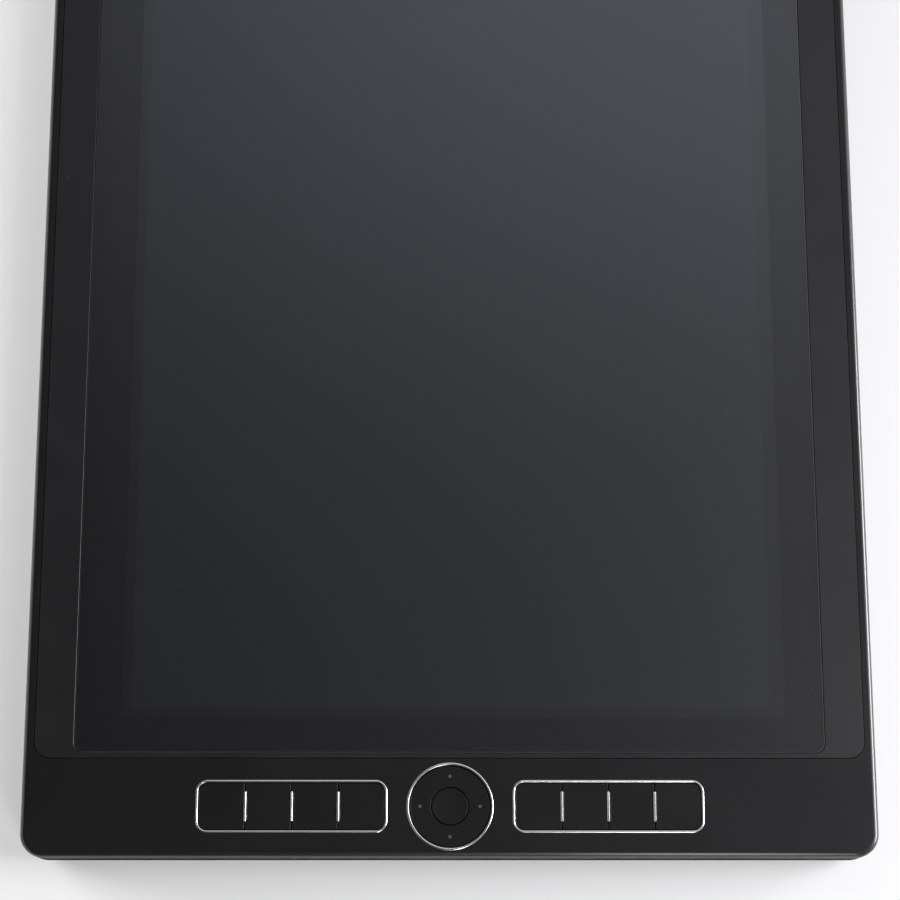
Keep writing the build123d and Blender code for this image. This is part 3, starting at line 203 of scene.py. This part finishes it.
# %% Room in the reflections
overhead_level, far_level = 0.125, 1.0
horizon_left, horizon_right = 0.7, 1.0
dark_level = 0.1
near_tint, far_tint, plain = (0.9, 0.93, 1, 1), (0.83, 0.86, 1, 1), (1, 1, 1, 1)
far_start, far_full = 0.24, 0.46
dark_start, dark_full = -0.3, -0.75
roof_left, roof_right = 0.3, -0.3
wall_left, wall_right = 0.5, -0.1
roof_edge, wall_edge = 0.72, 0.4

world = bpy.data.worlds.new("studio")
world.use_nodes = True
bpy.context.scene.world = world
sky = world.node_tree
sky.nodes.clear()
view = put(sky, "ShaderNodeTexCoord")
way = put(sky, "ShaderNodeSeparateXYZ", {0: view.outputs["Generated"]})
far = ramp(sky, way.outputs["X"], far_start, far_full, interpolation_type="SMOOTHSTEP")
right = ramp(sky, way.outputs["Y"], roof_left, roof_right, 0.0, 2.0)
low = ramp(sky, way.outputs["Z"], roof_edge, wall_edge, interpolation_type="SMOOTHSTEP")
roof = maths(sky, "MULTIPLY", blend(sky, far, overhead_level, far_level), right)
horizon = ramp(sky, way.outputs["Y"], wall_left, wall_right, horizon_left, horizon_right)
walls = ramp(sky, way.outputs["X"], dark_start, dark_full, horizon, dark_level)
room = blend(sky, low, maths(sky, "MINIMUM", roof, 1.0), walls)
tint = blend_colour(sky, low, blend_colour(sky, far, near_tint, far_tint), plain)
print("nodes in the room:", len(sky.nodes))

# %% [markdown]
# Light Path tells the rays apart. The matt share of a surface gets an even grey fill, only its
# gloss sees the room, and the camera sees plain white, as any ray that passes through clear glass
# would.

# %% World
fill_level = 0.15
ray = put(sky, "ShaderNodeLightPath")
seen = maths(sky, "MAXIMUM", ray.outputs["Is Camera Ray"], ray.outputs["Is Transmission Ray"])
fill = put(sky, "ShaderNodeBackground", {"Color": grey(1, 0.02), "Strength": fill_level})
mirrored = put(sky, "ShaderNodeBackground", {"Color": tint, "Strength": room})
white = put(sky, "ShaderNodeBackground", {"Color": grey(1), "Strength": 1.0})
surfaces = put(sky, "ShaderNodeMixShader",
               {0: ray.outputs["Is Glossy Ray"], 1: fill.outputs[0], 2: mirrored.outputs[0]})
both = put(sky, "ShaderNodeMixShader", {0: seen, 1: surfaces.outputs[0], 2: white.outputs[0]})
put(sky, "ShaderNodeOutputWorld", {0: both.outputs[0]})
print("world:", world.name)

# %% [markdown]
# The tablet lies on a white sheet. A floor could be one flat plane, but its far edge would show in
# low views, so the sheet is a plane much larger than the part. Part of its colour is seen by the
# camera alone, which keeps the paper white while the soft shadow of the tablet stays.

# %% Floor
floor_size = 30
paper_level = 0.86
camera_share = 0.22
bpy.ops.object.select_all(action="DESELECT")
bpy.ops.mesh.primitive_plane_add(size=floor_size, location=(0, 0, 0))
floor = bpy.context.object
floor.name = "floor"
paper = bpy.data.materials.new("paper")
paper.use_nodes = True
tree = paper.node_tree
tree.nodes.clear()
ray = put(tree, "ShaderNodeLightPath")
share = maths(tree, "MULTIPLY", ray.outputs["Is Camera Ray"], camera_share)
matt = put(tree, "ShaderNodeBsdfDiffuse", {"Color": grey(paper_level, 0.005)})
glow = put(tree, "ShaderNodeEmission", {"Color": grey(1), "Strength": 1.0})
both = put(tree, "ShaderNodeMixShader", {0: share, 1: matt.outputs[0], 2: glow.outputs[0]})
put(tree, "ShaderNodeOutputMaterial", {0: both.outputs[0]})
floor.data.materials.append(paper)
print("floor in metres:", floor_size)

# %% [markdown]
# Several finishes share the same effects. Each effect is a shader node group: a small tree with
# named inputs that puts out a mask or a height. The group is built once here, and every finish
# below places it with its own values. Most start from noise on Object coordinates, which stay with
# the piece.


# %% Helpers for groups of nodes
METRE = 1000.0  # in millimetres, so METRE / size is how often a pattern repeats in a metre


def new_group(name, inputs, outputs):
    """An empty node group with float inputs and outputs, and its two end nodes."""
    group = bpy.data.node_groups.new(name, "ShaderNodeTree")
    for label, value in inputs.items():
        socket = group.interface.new_socket(label, in_out="INPUT", socket_type="NodeSocketFloat")
        socket.default_value = value
    for label in outputs:
        group.interface.new_socket(label, in_out="OUTPUT", socket_type="NodeSocketFloat")
    return group, group.nodes.new("NodeGroupInput"), group.nodes.new("NodeGroupOutput")


def on_piece(tree):
    """The place of a point on its own piece."""
    return put(tree, "ShaderNodeTexCoord").outputs["Object"]


def noise(tree, place, scale, detail, roughness=0.5, distortion=0.0):
    """Smooth noise between 0 and 1, as many grains to the metre as its scale says."""
    inputs = {"Vector": place, "Scale": scale, "Detail": detail, "Roughness": roughness,
              "Distortion": distortion}
    return put(tree, "ShaderNodeTexNoise", inputs).outputs[0]


def upward(tree, normal):
    """How far a face looks up: 1 when it lies flat, 0 when it stands, -1 when it looks down."""
    surface = put(tree, "ShaderNodeNewGeometry")
    return put(tree, "ShaderNodeSeparateXYZ", {0: surface.outputs[normal]}).outputs["Z"]


# %% [markdown]
# Moulded plastic copies the eroded skin of its tool: fine rounded grains, a tenth of a millimetre
# or two across, over slow, faint waves. Two noises give the two scales. A photograph could be used
# for this, but noise has no seams and fits any piece.

# %% Moulded grain
group, start, end = new_group(
    "moulded grain", {"Grain Size": 0.2, "Wave Size": 12.0}, ["Height", "Waves"])
place = on_piece(group)
per_grain = maths(group, "DIVIDE", METRE, start.outputs["Grain Size"])
per_wave = maths(group, "DIVIDE", METRE, start.outputs["Wave Size"])
group.links.new(noise(group, place, per_grain, 2.0, 0.6), end.inputs["Height"])
group.links.new(noise(group, place, per_wave, 4.0, 0.55), end.inputs["Waves"])
print("effect:", group.name)

# %% [markdown]
# Hands polish the edges of a case. A bevel node bends the normal near an edge, so the angle between
# that normal and the true one is a mask of the edges. Noise breaks the mask up, because wear is
# uneven.

# %% Worn edges
same_way, bent_away = 0.995, 0.85
patches = 180.0
patch_start, patch_full = 0.4, 0.62
group, start, end = new_group("worn edges", {"Width": 0.4, "Evenness": 0.5}, ["Mask"])
surface = put(group, "ShaderNodeNewGeometry")
reach = maths(group, "MULTIPLY", start.outputs["Width"], MM)
soft = put(group, "ShaderNodeBevel", {"Radius": reach}, samples=4)
match = put(group, "ShaderNodeVectorMath", {0: soft.outputs[0], 1: surface.outputs["Normal"]},
            operation="DOT_PRODUCT")
edge = ramp(group, match.outputs["Value"], same_way, bent_away)
patchy = noise(group, on_piece(group), patches, 5.0, 0.65)
broken = ramp(group, patchy, patch_start, patch_full, low=start.outputs["Evenness"])
group.links.new(maths(group, "MULTIPLY", edge, broken), end.inputs["Mask"])
print("effect:", group.name)

# %% [markdown]
# A few specks of dust lie on the glass and on the black faces round it. Voronoi cells give
# scattered points, a cell's own random colour says whether it holds a speck, and only faces that
# look up keep them.

# %% Dust
group, start, end = new_group(
    "dust", {"Spacing": 9.0, "Speck Size": 0.16, "Amount": 0.25}, ["Mask"])
per_cell = maths(group, "DIVIDE", METRE, start.outputs["Spacing"])
cells = put(group, "ShaderNodeTexVoronoi", {"Vector": on_piece(group), "Scale": per_cell})
parts = put(group, "ShaderNodeSeparateColor", {"Color": cells.outputs["Color"]})
share = maths(group, "DIVIDE", start.outputs["Speck Size"], start.outputs["Spacing"])
uneven = maths(group, "MULTIPLY", share, parts.outputs[1])
near = maths(group, "LESS_THAN", cells.outputs["Distance"], uneven)
chosen = maths(group, "LESS_THAN", parts.outputs[0], start.outputs["Amount"])
speck = maths(group, "MULTIPLY", near, chosen)
settled = ramp(group, upward(group, "Normal"), 0.6, 0.9)
group.links.new(maths(group, "MULTIPLY", speck, settled), end.inputs["Mask"])
print("effect:", group.name)

# %% [markdown]
# Palms leave faint greasy films on glass and plastic. They change how a surface shines more than
# its colour, so this group puts out one slow, streaky value.

# %% Handling marks
group, start, end = new_group("handling marks", {"Size": 30.0}, ["Film"])
per_mark = maths(group, "DIVIDE", METRE, start.outputs["Size"])
smear = noise(group, on_piece(group), per_mark, 6.0, 0.6, distortion=0.8)
group.links.new(ramp(group, smear, 0.35, 0.7), end.inputs["Film"])
print("effect:", group.name)


# %% [markdown]
# Every finish starts as a Principled shader with plain values. The first helper below makes that
# start, and the others then vary its colour, roughness or normal over the surface.


# %% Helpers for finishes
finishes = {}


def new_finish(name, colour, roughness, **plain):
    """Keeps a new material under its name. Plain values sit on its shader's own sockets."""
    material = bpy.data.materials.new(name)
    material.use_nodes = True
    tree = material.node_tree
    tree.nodes.clear()
    shader = put(tree, "ShaderNodeBsdfPrincipled", {"Base Color": colour, "Roughness": roughness})
    for label, value in plain.items():
        shader.inputs[label.replace("_", " ")].default_value = value
    put(tree, "ShaderNodeOutputMaterial", {0: shader.outputs[0]})
    finishes[name] = material
    return tree, shader


def effect(tree, name, **values):
    """Places one of the shared groups and sets its inputs."""
    made = tree.nodes.new("ShaderNodeGroup")
    made.node_tree = bpy.data.node_groups[name]
    for label, value in values.items():
        made.inputs[label.replace("_", " ")].default_value = value
    return made


def scaled(colour, factor):
    """A colour made darker or paler by a factor, and never above full."""
    return [min(1, level * factor) for level in colour[:3]] + [1]


def spread(tree, value, low, high):
    """A value between 0 and 1, stretched to run from low to high."""
    return ramp(tree, value, 0.0, 1.0, low, high)


def raise_surface(tree, shader, height, depth):
    """Bumps the surface by a height between 0 and 1, times depth in millimetres."""
    bump = put(tree, "ShaderNodeBump", {"Height": height, "Distance": depth * MM, "Strength": 1.0})
    tree.links.new(bump.outputs[0], shader.inputs["Normal"])


# %% [markdown]
# The case is one family of matt black mouldings. The rim and key panel, the rear cover, the bezel
# and the keys differ a little in tone and gloss, as parts from different tools do. The rounded edge
# of the rim is glossier than its grained face, so a moulding can take a clear coat. It lies on the
# faces that lean, and neither on flat ones nor on the upright walls.


# %% Black mouldings
def edge_coat(tree, shader):
    """A clear coat on the faces between flat and upright."""
    rise = upward(tree, "True Normal")
    off_flat = ramp(tree, rise, 0.995, 0.9)
    off_wall = ramp(tree, rise, 0.3, 0.5)
    tree.links.new(maths(tree, "MULTIPLY", off_flat, off_wall), shader.inputs["Coat Weight"])


def moulded_plastic(name, colour, worn, roughness, grain=0.2, depth=0.006, wear=0.3, dust=0.0,
                    shine=0.25, coated=False):
    """Textured plastic: grain, slow waves in its tone, polished edges, and some dust or a coat."""
    tree, shader = new_finish(
        name, colour, roughness, Specular_IOR_Level=shine, Coat_Roughness=0.22, Coat_IOR=1.6)
    skin = effect(tree, "moulded grain", Grain_Size=grain)
    edges = effect(tree, "worn edges", Width=wear).outputs[0]
    tone = blend_colour(tree, skin.outputs["Waves"], scaled(colour, 0.9), colour)
    tone = blend_colour(tree, edges, tone, worn)
    if dust:
        specks = effect(tree, "dust", Amount=dust)
        tone = blend_colour(tree, specks.outputs[0], tone, grey(0.35))
    tree.links.new(tone, shader.inputs["Base Color"])
    film = effect(tree, "handling marks").outputs[0]
    dull, clean = roughness + 0.04, roughness - 0.05
    polish = -0.12
    rough = maths(tree, "MULTIPLY_ADD", edges, polish, spread(tree, film, dull, clean))
    tree.links.new(rough, shader.inputs["Roughness"])
    if coated:
        edge_coat(tree, shader)
    raise_surface(tree, shader, skin.outputs["Height"], depth)


moulded_plastic("housing_black", grey(0.007), grey(0.014), 0.42, grain=0.16, dust=0.2, shine=0.26,
                coated=True)
moulded_plastic("cover_black", grey(0.009), grey(0.018), 0.75, grain=0.3, depth=0.012, shine=0.06)
moulded_plastic("bezel_black", grey(0.008), grey(0.015), 0.42, grain=0.14, depth=0.004, dust=0.2,
                shine=0.45)
moulded_plastic("key_black", grey(0.007), grey(0.014), 0.42, grain=0.14, depth=0.004, wear=0.25,
                dust=0.1, shine=0.22)
moulded_plastic("inner_plastic", grey(0.03), grey(0.05), 0.6, grain=0.4, depth=0.01)
print("mouldings:", len(finishes))

# %% [markdown]
# The cover glass is etched on its face so that it does not glare and so that a pen drags a little
# on it. Full refraction through a rough face would be slow and noisy, and the layers lie only two
# millimetres below, so the glass lets light straight through with a low alpha and keeps its own
# soft reflection. Its index is above that of real glass, because the screen is paler in the
# photograph than plain glass makes it.


# %% Cover glass
def etched_glass():
    """Anti-glare glass. Roughness stands for its fine pits, and its ground edge is blackened."""
    clear, speck = grey(0.006, -0.05), grey(0.4)
    clear_alpha, speck_alpha = 0.5, 0.9
    tree, shader = new_finish(
        "etched_glass", clear, 0.25, Alpha=clear_alpha, IOR=1.8, Specular_IOR_Level=1.0)
    film = effect(tree, "handling marks", Size=45.0).outputs[0]
    specks = effect(tree, "dust", Spacing=14.0, Speck_Size=0.2, Amount=0.3).outputs[0]
    tree.links.new(blend_colour(tree, specks, clear, speck), shader.inputs["Base Color"])
    flat = maths(tree, "ABSOLUTE", upward(tree, "True Normal"))
    rim = ramp(tree, flat, 0.99, 0.9)
    alpha = maths(tree, "MAXIMUM", spread(tree, specks, clear_alpha, speck_alpha), rim)
    tree.links.new(alpha, shader.inputs["Alpha"])
    ground = maths(tree, "MAXIMUM", spread(tree, film, 0.255, 0.245), rim)
    tree.links.new(ground, shader.inputs["Roughness"])


etched_glass()
print("glass:", finishes["etched_glass"].name)

# %% [markdown]
# Two layers show through the glass. A black border is printed on its back, and under it lies the
# switched-off screen. The lit area of the screen is a polariser, a blue-black film one step above
# the darker rim of the cell, so one material serves both and its colour changes with the height.


# %% Border and screen
def border_print():
    """Black print on the back of the glass, with the slight orange peel of a screen print."""
    tree, shader = new_finish("border_black", grey(0.018), 0.35)
    skin = effect(tree, "moulded grain", Grain_Size=0.8)
    tone = blend_colour(tree, skin.outputs["Waves"], grey(0.016), grey(0.02))
    tree.links.new(tone, shader.inputs["Base Color"])
    raise_surface(tree, shader, skin.outputs["Height"], 0.001)


def screen_layers():
    """A blue-black polariser over the lit area, and the darker cell round it."""
    step_height = 0.1
    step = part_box("lcd_cell")[1][2] - step_height * MM
    warmer, cooler = (0.062, 0.064, 0.092, 1), (0.056, 0.067, 0.092, 1)
    cell_rim = (0.030, 0.031, 0.034, 1)
    tree, shader = new_finish("screen_dark", (0.06, 0.063, 0.07, 1), 0.3)
    place = on_piece(tree)
    parts = put(tree, "ShaderNodeSeparateXYZ", {0: place})
    on_top = maths(tree, "GREATER_THAN", parts.outputs["Z"], step)
    mottle = noise(tree, place, 90.0, 3.0)
    tone = blend_colour(tree, on_top, cell_rim, blend_colour(tree, mottle, warmer, cooler))
    tree.links.new(tone, shader.inputs["Base Color"])
    film = noise(tree, place, 25.0, 4.0)
    tree.links.new(spread(tree, film, 0.27, 0.33), shader.inputs["Roughness"])


border_print()
screen_layers()
print("finishes so far:", len(finishes))

# %% [markdown]
# The rims and bars are cut from metal and polished, so they mirror the studio. A perfect mirror
# looks false: the cutter leaves very fine lines, and fingers leave film. The lines are noise
# stretched along the cut.


# %% Metals
def metal(name, colour, roughness, stretch, depth=0.0015, worn=0.0, unevenness=1.0):
    """Bare metal with drawn or cut lines and slightly uneven polish."""
    line_width = 0.25
    smoothest, roughest = roughness * (1 - 0.2 * unevenness), roughness * (1 + 0.4 * unevenness)
    tree, shader = new_finish(name, colour, roughness, Metallic=1.0)
    drawn = put(tree, "ShaderNodeMapping", {"Vector": on_piece(tree), "Scale": stretch})
    lines = noise(tree, drawn.outputs[0], METRE / line_width, 2.0)
    film = effect(tree, "handling marks", Size=8.0).outputs[0]
    tone = blend_colour(tree, film, colour, scaled(colour, 1 - 0.14 * unevenness))
    if worn:
        edges = effect(tree, "worn edges", Width=worn)
        tone = blend_colour(tree, edges.outputs[0], tone, scaled(colour, 1.25))
    tree.links.new(tone, shader.inputs["Base Color"])
    tree.links.new(spread(tree, film, smoothest, roughest), shader.inputs["Roughness"])
    raise_surface(tree, shader, lines, depth)


metal("bright_trim", (0.8, 0.8, 0.795, 1), 0.24, (1, 1, 1), depth=0.0001, unevenness=0.3)
metal("steel", (0.56, 0.56, 0.57, 1), 0.3, (1, 0.05, 1), worn=0.2)
metal("frame_metal", (0.52, 0.53, 0.54, 1), 0.42, (0.05, 1, 1), worn=0.3)
metal("contact_gold", (0.85, 0.6, 0.26, 1), 0.28, (0.05, 1, 1))
metal("copper", (0.72, 0.38, 0.22, 1), 0.32, (1, 0.05, 1), worn=0.2)
print("finishes so far:", len(finishes))

# %% [markdown]
# Rubber feet and foam have fine pores, and rubber takes a pale bloom in patches. Voronoi cells give
# the pores, because the distance from the middle of a cell makes a round dip.


# %% Rubber and foam
def porous(name, colour, bloom, roughness, pore, depth):
    """Rubber or foam: round pores and a pale bloom in patches."""
    tree, shader = new_finish(name, colour, roughness)
    pores = put(tree, "ShaderNodeTexVoronoi", {"Vector": on_piece(tree), "Scale": METRE / pore})
    film = effect(tree, "handling marks", Size=6.0).outputs[0]
    edges = effect(tree, "worn edges", Width=0.5).outputs[0]
    tone = blend_colour(tree, edges, blend_colour(tree, film, colour, bloom), scaled(bloom, 1.8))
    tree.links.new(tone, shader.inputs["Base Color"])
    tree.links.new(spread(tree, film, roughness, roughness - 0.12), shader.inputs["Roughness"])
    raise_surface(tree, shader, pores.outputs["Distance"], depth)


porous("foot_rubber", grey(0.022), grey(0.035), 0.75, pore=0.4, depth=0.02)
porous("foam_black", grey(0.015), grey(0.02), 0.9, pore=0.25, depth=0.05)
print("finishes so far:", len(finishes))

# %% [markdown]
# A circuit board is green lacquer over copper tracks. The tracks could be drawn one by one, but the
# boards are hidden inside the case, so the joints of a brick pattern stand for them.


# %% Circuit board
def circuit_board():
    """Green mask over copper tracks, which show as lighter lines between brick-shaped cells."""
    tree, shader = new_finish("board_green", (0.02, 0.11, 0.05, 1), 0.35)
    tracks = put(tree, "ShaderNodeTexBrick",
                 {"Vector": on_piece(tree), "Scale": METRE / 6.0, "Mortar Size": 0.09,
                  "Color1": (0.012, 0.075, 0.03, 1), "Color2": (0.014, 0.085, 0.036, 1),
                  "Mortar": (0.035, 0.16, 0.07, 1)})
    film = effect(tree, "handling marks", Size=12.0).outputs[0]
    tree.links.new(tracks.outputs["Color"], shader.inputs["Base Color"])
    tree.links.new(spread(tree, film, 0.3, 0.42), shader.inputs["Roughness"])
    raise_surface(tree, shader, tracks.outputs["Fac"], 0.03)


circuit_board()
print("finishes so far:", len(finishes))

# %% [markdown]
# The light guide, the dome sheet, the foil of the battery cells and the ribbons are smooth sheets
# that differ in colour and in how finely they wrinkle. The chips and the pips are plain mouldings.


# %% Films and small mouldings
def film_sheet(name, colour, roughness, wrinkle, depth, **plain):
    """Foil, ribbon or clear film: smooth, with long soft wrinkles."""
    smooth, creased = roughness * 0.8, roughness * 1.2
    tree, shader = new_finish(name, colour, roughness, **plain)
    folds = noise(tree, on_piece(tree), METRE / wrinkle, 3.0, distortion=1.2)
    film = effect(tree, "handling marks", Size=20.0).outputs[0]
    tree.links.new(blend_colour(tree, film, colour, scaled(colour, 0.85)),
                   shader.inputs["Base Color"])
    tree.links.new(spread(tree, folds, smooth, creased), shader.inputs["Roughness"])
    raise_surface(tree, shader, folds, depth)


moulded_plastic("chip_black", grey(0.02), grey(0.05), 0.5, grain=0.1, wear=0.15)
moulded_plastic("pip_grey", grey(0.08), grey(0.14), 0.4, grain=0.1, wear=0.1)
film_sheet("guide_white", (0.82, 0.84, 0.86, 1), 0.25, wrinkle=30.0, depth=0.01)
film_sheet("dome_clear", (0.72, 0.74, 0.74, 1), 0.3, wrinkle=5.0, depth=0.02, Alpha=0.6)
film_sheet("cell_foil", (0.42, 0.43, 0.45, 1), 0.35, wrinkle=9.0, depth=0.08, Metallic=1.0)
film_sheet("ribbon_amber", (0.45, 0.2, 0.04, 1), 0.3, wrinkle=6.0, depth=0.02)
print("finishes in all:", len(finishes))

# %% [markdown]
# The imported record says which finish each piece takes. One loop puts the finishes on, and a piece
# that the record gives no finish would stop the script here.

# %% Put the finishes on
for part in frame["record"]["subparts"]:
    mesh = nodes[part["node"]].data
    mesh.materials.clear()
    mesh.materials.append(finishes[part["material_slot"]])

# %% [markdown]
# The rims and bars are cut from metal, and tumbling rounds their edges. On a piece under a
# millimetre wide that rounding is what catches the light. A shader can bend the light at an edge,
# but on such thin lines it looks ragged, so a copy of each piece gets edges that are really
# rounded.

# %% Rounded trim
trim_rounding = 0.15
trim_segments = 3
same_point = 0.001
flat_angle, sharp_angle, smooth_angle = radians(0.5), radians(40), radians(50)


def bare_copy(node, name):
    """A copy of a solid's mesh with its loose triangles joined, selected and active."""
    bpy.ops.object.select_all(action="DESELECT")
    copy = bpy.data.objects.new(name, nodes[node].data.copy())
    bpy.context.collection.objects.link(copy)
    bpy.context.view_layer.objects.active = copy
    copy.select_set(True)
    bpy.ops.object.mode_set(mode="EDIT")
    bpy.ops.mesh.select_all(action="SELECT")
    bpy.ops.mesh.remove_doubles(threshold=same_point * MM)
    bpy.ops.mesh.dissolve_limited(angle_limit=flat_angle)
    bpy.ops.object.mode_set(mode="OBJECT")
    return copy


def rounded_trim(node):
    """Stands for a square-edged trim, with its sharp edges rounded."""
    trim = bare_copy(node, "rounded_" + node)
    soft = trim.modifiers.new("soft edges", "BEVEL")
    soft.width = trim_rounding * MM
    soft.segments = trim_segments
    soft.limit_method = "ANGLE"
    soft.angle_limit = sharp_angle
    bpy.ops.object.modifier_apply(modifier=soft.name)
    bpy.ops.object.shade_smooth_by_angle(angle=smooth_angle)
    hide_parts(node)
    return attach(trim, *body_of(nodes[node]))


for node in ("key_rim_top", "key_rim_bottom", "key_divider_bars", "ring_rim"):
    trim = rounded_trim(node)

# %% [markdown]
# A fan draws dust, so a fine woven mesh lies over the slots inside the rear cover. Real wires pass
# over and under each other, but they are a third of a millimetre thick and seen through slots, so a
# flat grid, cut round and turned into wires by a modifier, is enough.

# %% Dust meshes of the fans
mesh_radius = 19.6
mesh_pitch = 1.1
mesh_wire = 0.3
inner_floor = 2.5


def dust_mesh(number):
    """A round piece of wire mesh under one fan, on the floor of the rear cover."""
    low, high = (Vector(corner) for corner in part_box(f"fan_rotor_{number}"))
    middle = (low + high) / 2
    cells = int(2 * mesh_radius / mesh_pitch)
    bpy.ops.object.select_all(action="DESELECT")
    bpy.ops.mesh.primitive_grid_add(
        x_subdivisions=cells, y_subdivisions=cells, size=2 * mesh_radius * MM)
    weave = bpy.context.object
    weave.name = f"dust_mesh_{number}"
    bpy.ops.object.mode_set(mode="EDIT")
    bpy.ops.mesh.select_mode(type="VERT")
    bpy.ops.mesh.select_all(action="DESELECT")
    edit = bmesh.from_edit_mesh(weave.data)
    for crossing in edit.verts:
        crossing.select = crossing.co.length > mesh_radius * MM
    edit.select_flush_mode()
    bmesh.update_edit_mesh(weave.data)
    bpy.ops.mesh.delete(type="VERT")
    bpy.ops.mesh.select_all(action="SELECT")
    bpy.ops.transform.translate(value=(middle.x, middle.y, (inner_floor + mesh_wire / 2) * MM))
    bpy.ops.object.mode_set(mode="OBJECT")
    wires = weave.modifiers.new("wires", "WIREFRAME")
    wires.thickness = mesh_wire * MM
    bpy.ops.object.modifier_apply(modifier=wires.name)
    weave.data.materials.append(finishes["inner_plastic"])
    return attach(weave, "housing")


for number in (1, 2):
    weave = dust_mesh(number)
    print(weave.name, "faces:", len(weave.data.polygons))

# %% [markdown]
# Each port has a tongue with a row of gilt fingers on both sides. One finger is a small plate with
# rounded corners. It is made at the origin, half a tongue's height up, so that a mirror can give
# the lower row from it.

# %% One contact finger
finger_length, finger_width, finger_height = 3.2, 0.28, 0.03
finger_corner = finger_width / 3
tongue_height = 0.7
bpy.ops.object.select_all(action="DESELECT")
bpy.ops.mesh.primitive_plane_add(size=MM)
fingers = bpy.context.object
fingers.name = "port_contacts"
bpy.ops.object.mode_set(mode="EDIT")
bpy.ops.mesh.select_all(action="SELECT")
bpy.ops.transform.resize(value=(finger_length, finger_width, 1))
bpy.ops.mesh.bevel(offset=finger_corner * MM, affect="VERTICES", segments=2)
bpy.ops.mesh.extrude_region_move(TRANSFORM_OT_translate={"value": (0, 0, finger_height * MM)})
bpy.ops.mesh.select_all(action="SELECT")
bpy.ops.mesh.normals_make_consistent(inside=False)
bpy.ops.transform.translate(value=(0, 0, tongue_height / 2 * MM))
bpy.ops.object.mode_set(mode="OBJECT")
print("faces of one finger:", len(fingers.data.polygons))

# %% [markdown]
# A mirror and two arrays make all the rows from that one finger, and then they move to the tongues
# together. The ports' own box says where those are.

# %% Rows of contact fingers
finger_count = 12
finger_pitch = 0.5
tip_margin = 0.3
tongue_recess = 0.8
port_count = 3
port_pitch = 18.0


def repeat(obj, count, step):
    """Repeats a piece at even steps sideways."""
    row = obj.modifiers.new("row", "ARRAY")
    row.count = count
    row.use_relative_offset = False
    row.use_constant_offset = True
    row.constant_offset_displace = (0, step * MM, 0)
    bpy.ops.object.modifier_apply(modifier=row.name)


low, high = (Vector(corner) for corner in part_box("data_ports"))
middle = (low + high) / 2
row_width = (port_count - 1) * port_pitch + (finger_count - 1) * finger_pitch
first_finger = middle.y - row_width / 2 * MM
tongue_tip = high.x - tongue_recess * MM
both_sides = fingers.modifiers.new("both sides", "MIRROR")
both_sides.use_axis = (False, False, True)
bpy.ops.object.modifier_apply(modifier=both_sides.name)
repeat(fingers, finger_count, finger_pitch)
repeat(fingers, port_count, port_pitch)
bpy.ops.object.mode_set(mode="EDIT")
bpy.ops.mesh.select_all(action="SELECT")
bpy.ops.transform.translate(
    value=(tongue_tip - (tip_margin + finger_length / 2) * MM, first_finger, middle.z))
bpy.ops.object.mode_set(mode="OBJECT")
fingers.data.materials.append(finishes["contact_gold"])
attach(fingers, "housing")
print("port fingers:", 2 * finger_count * port_count)
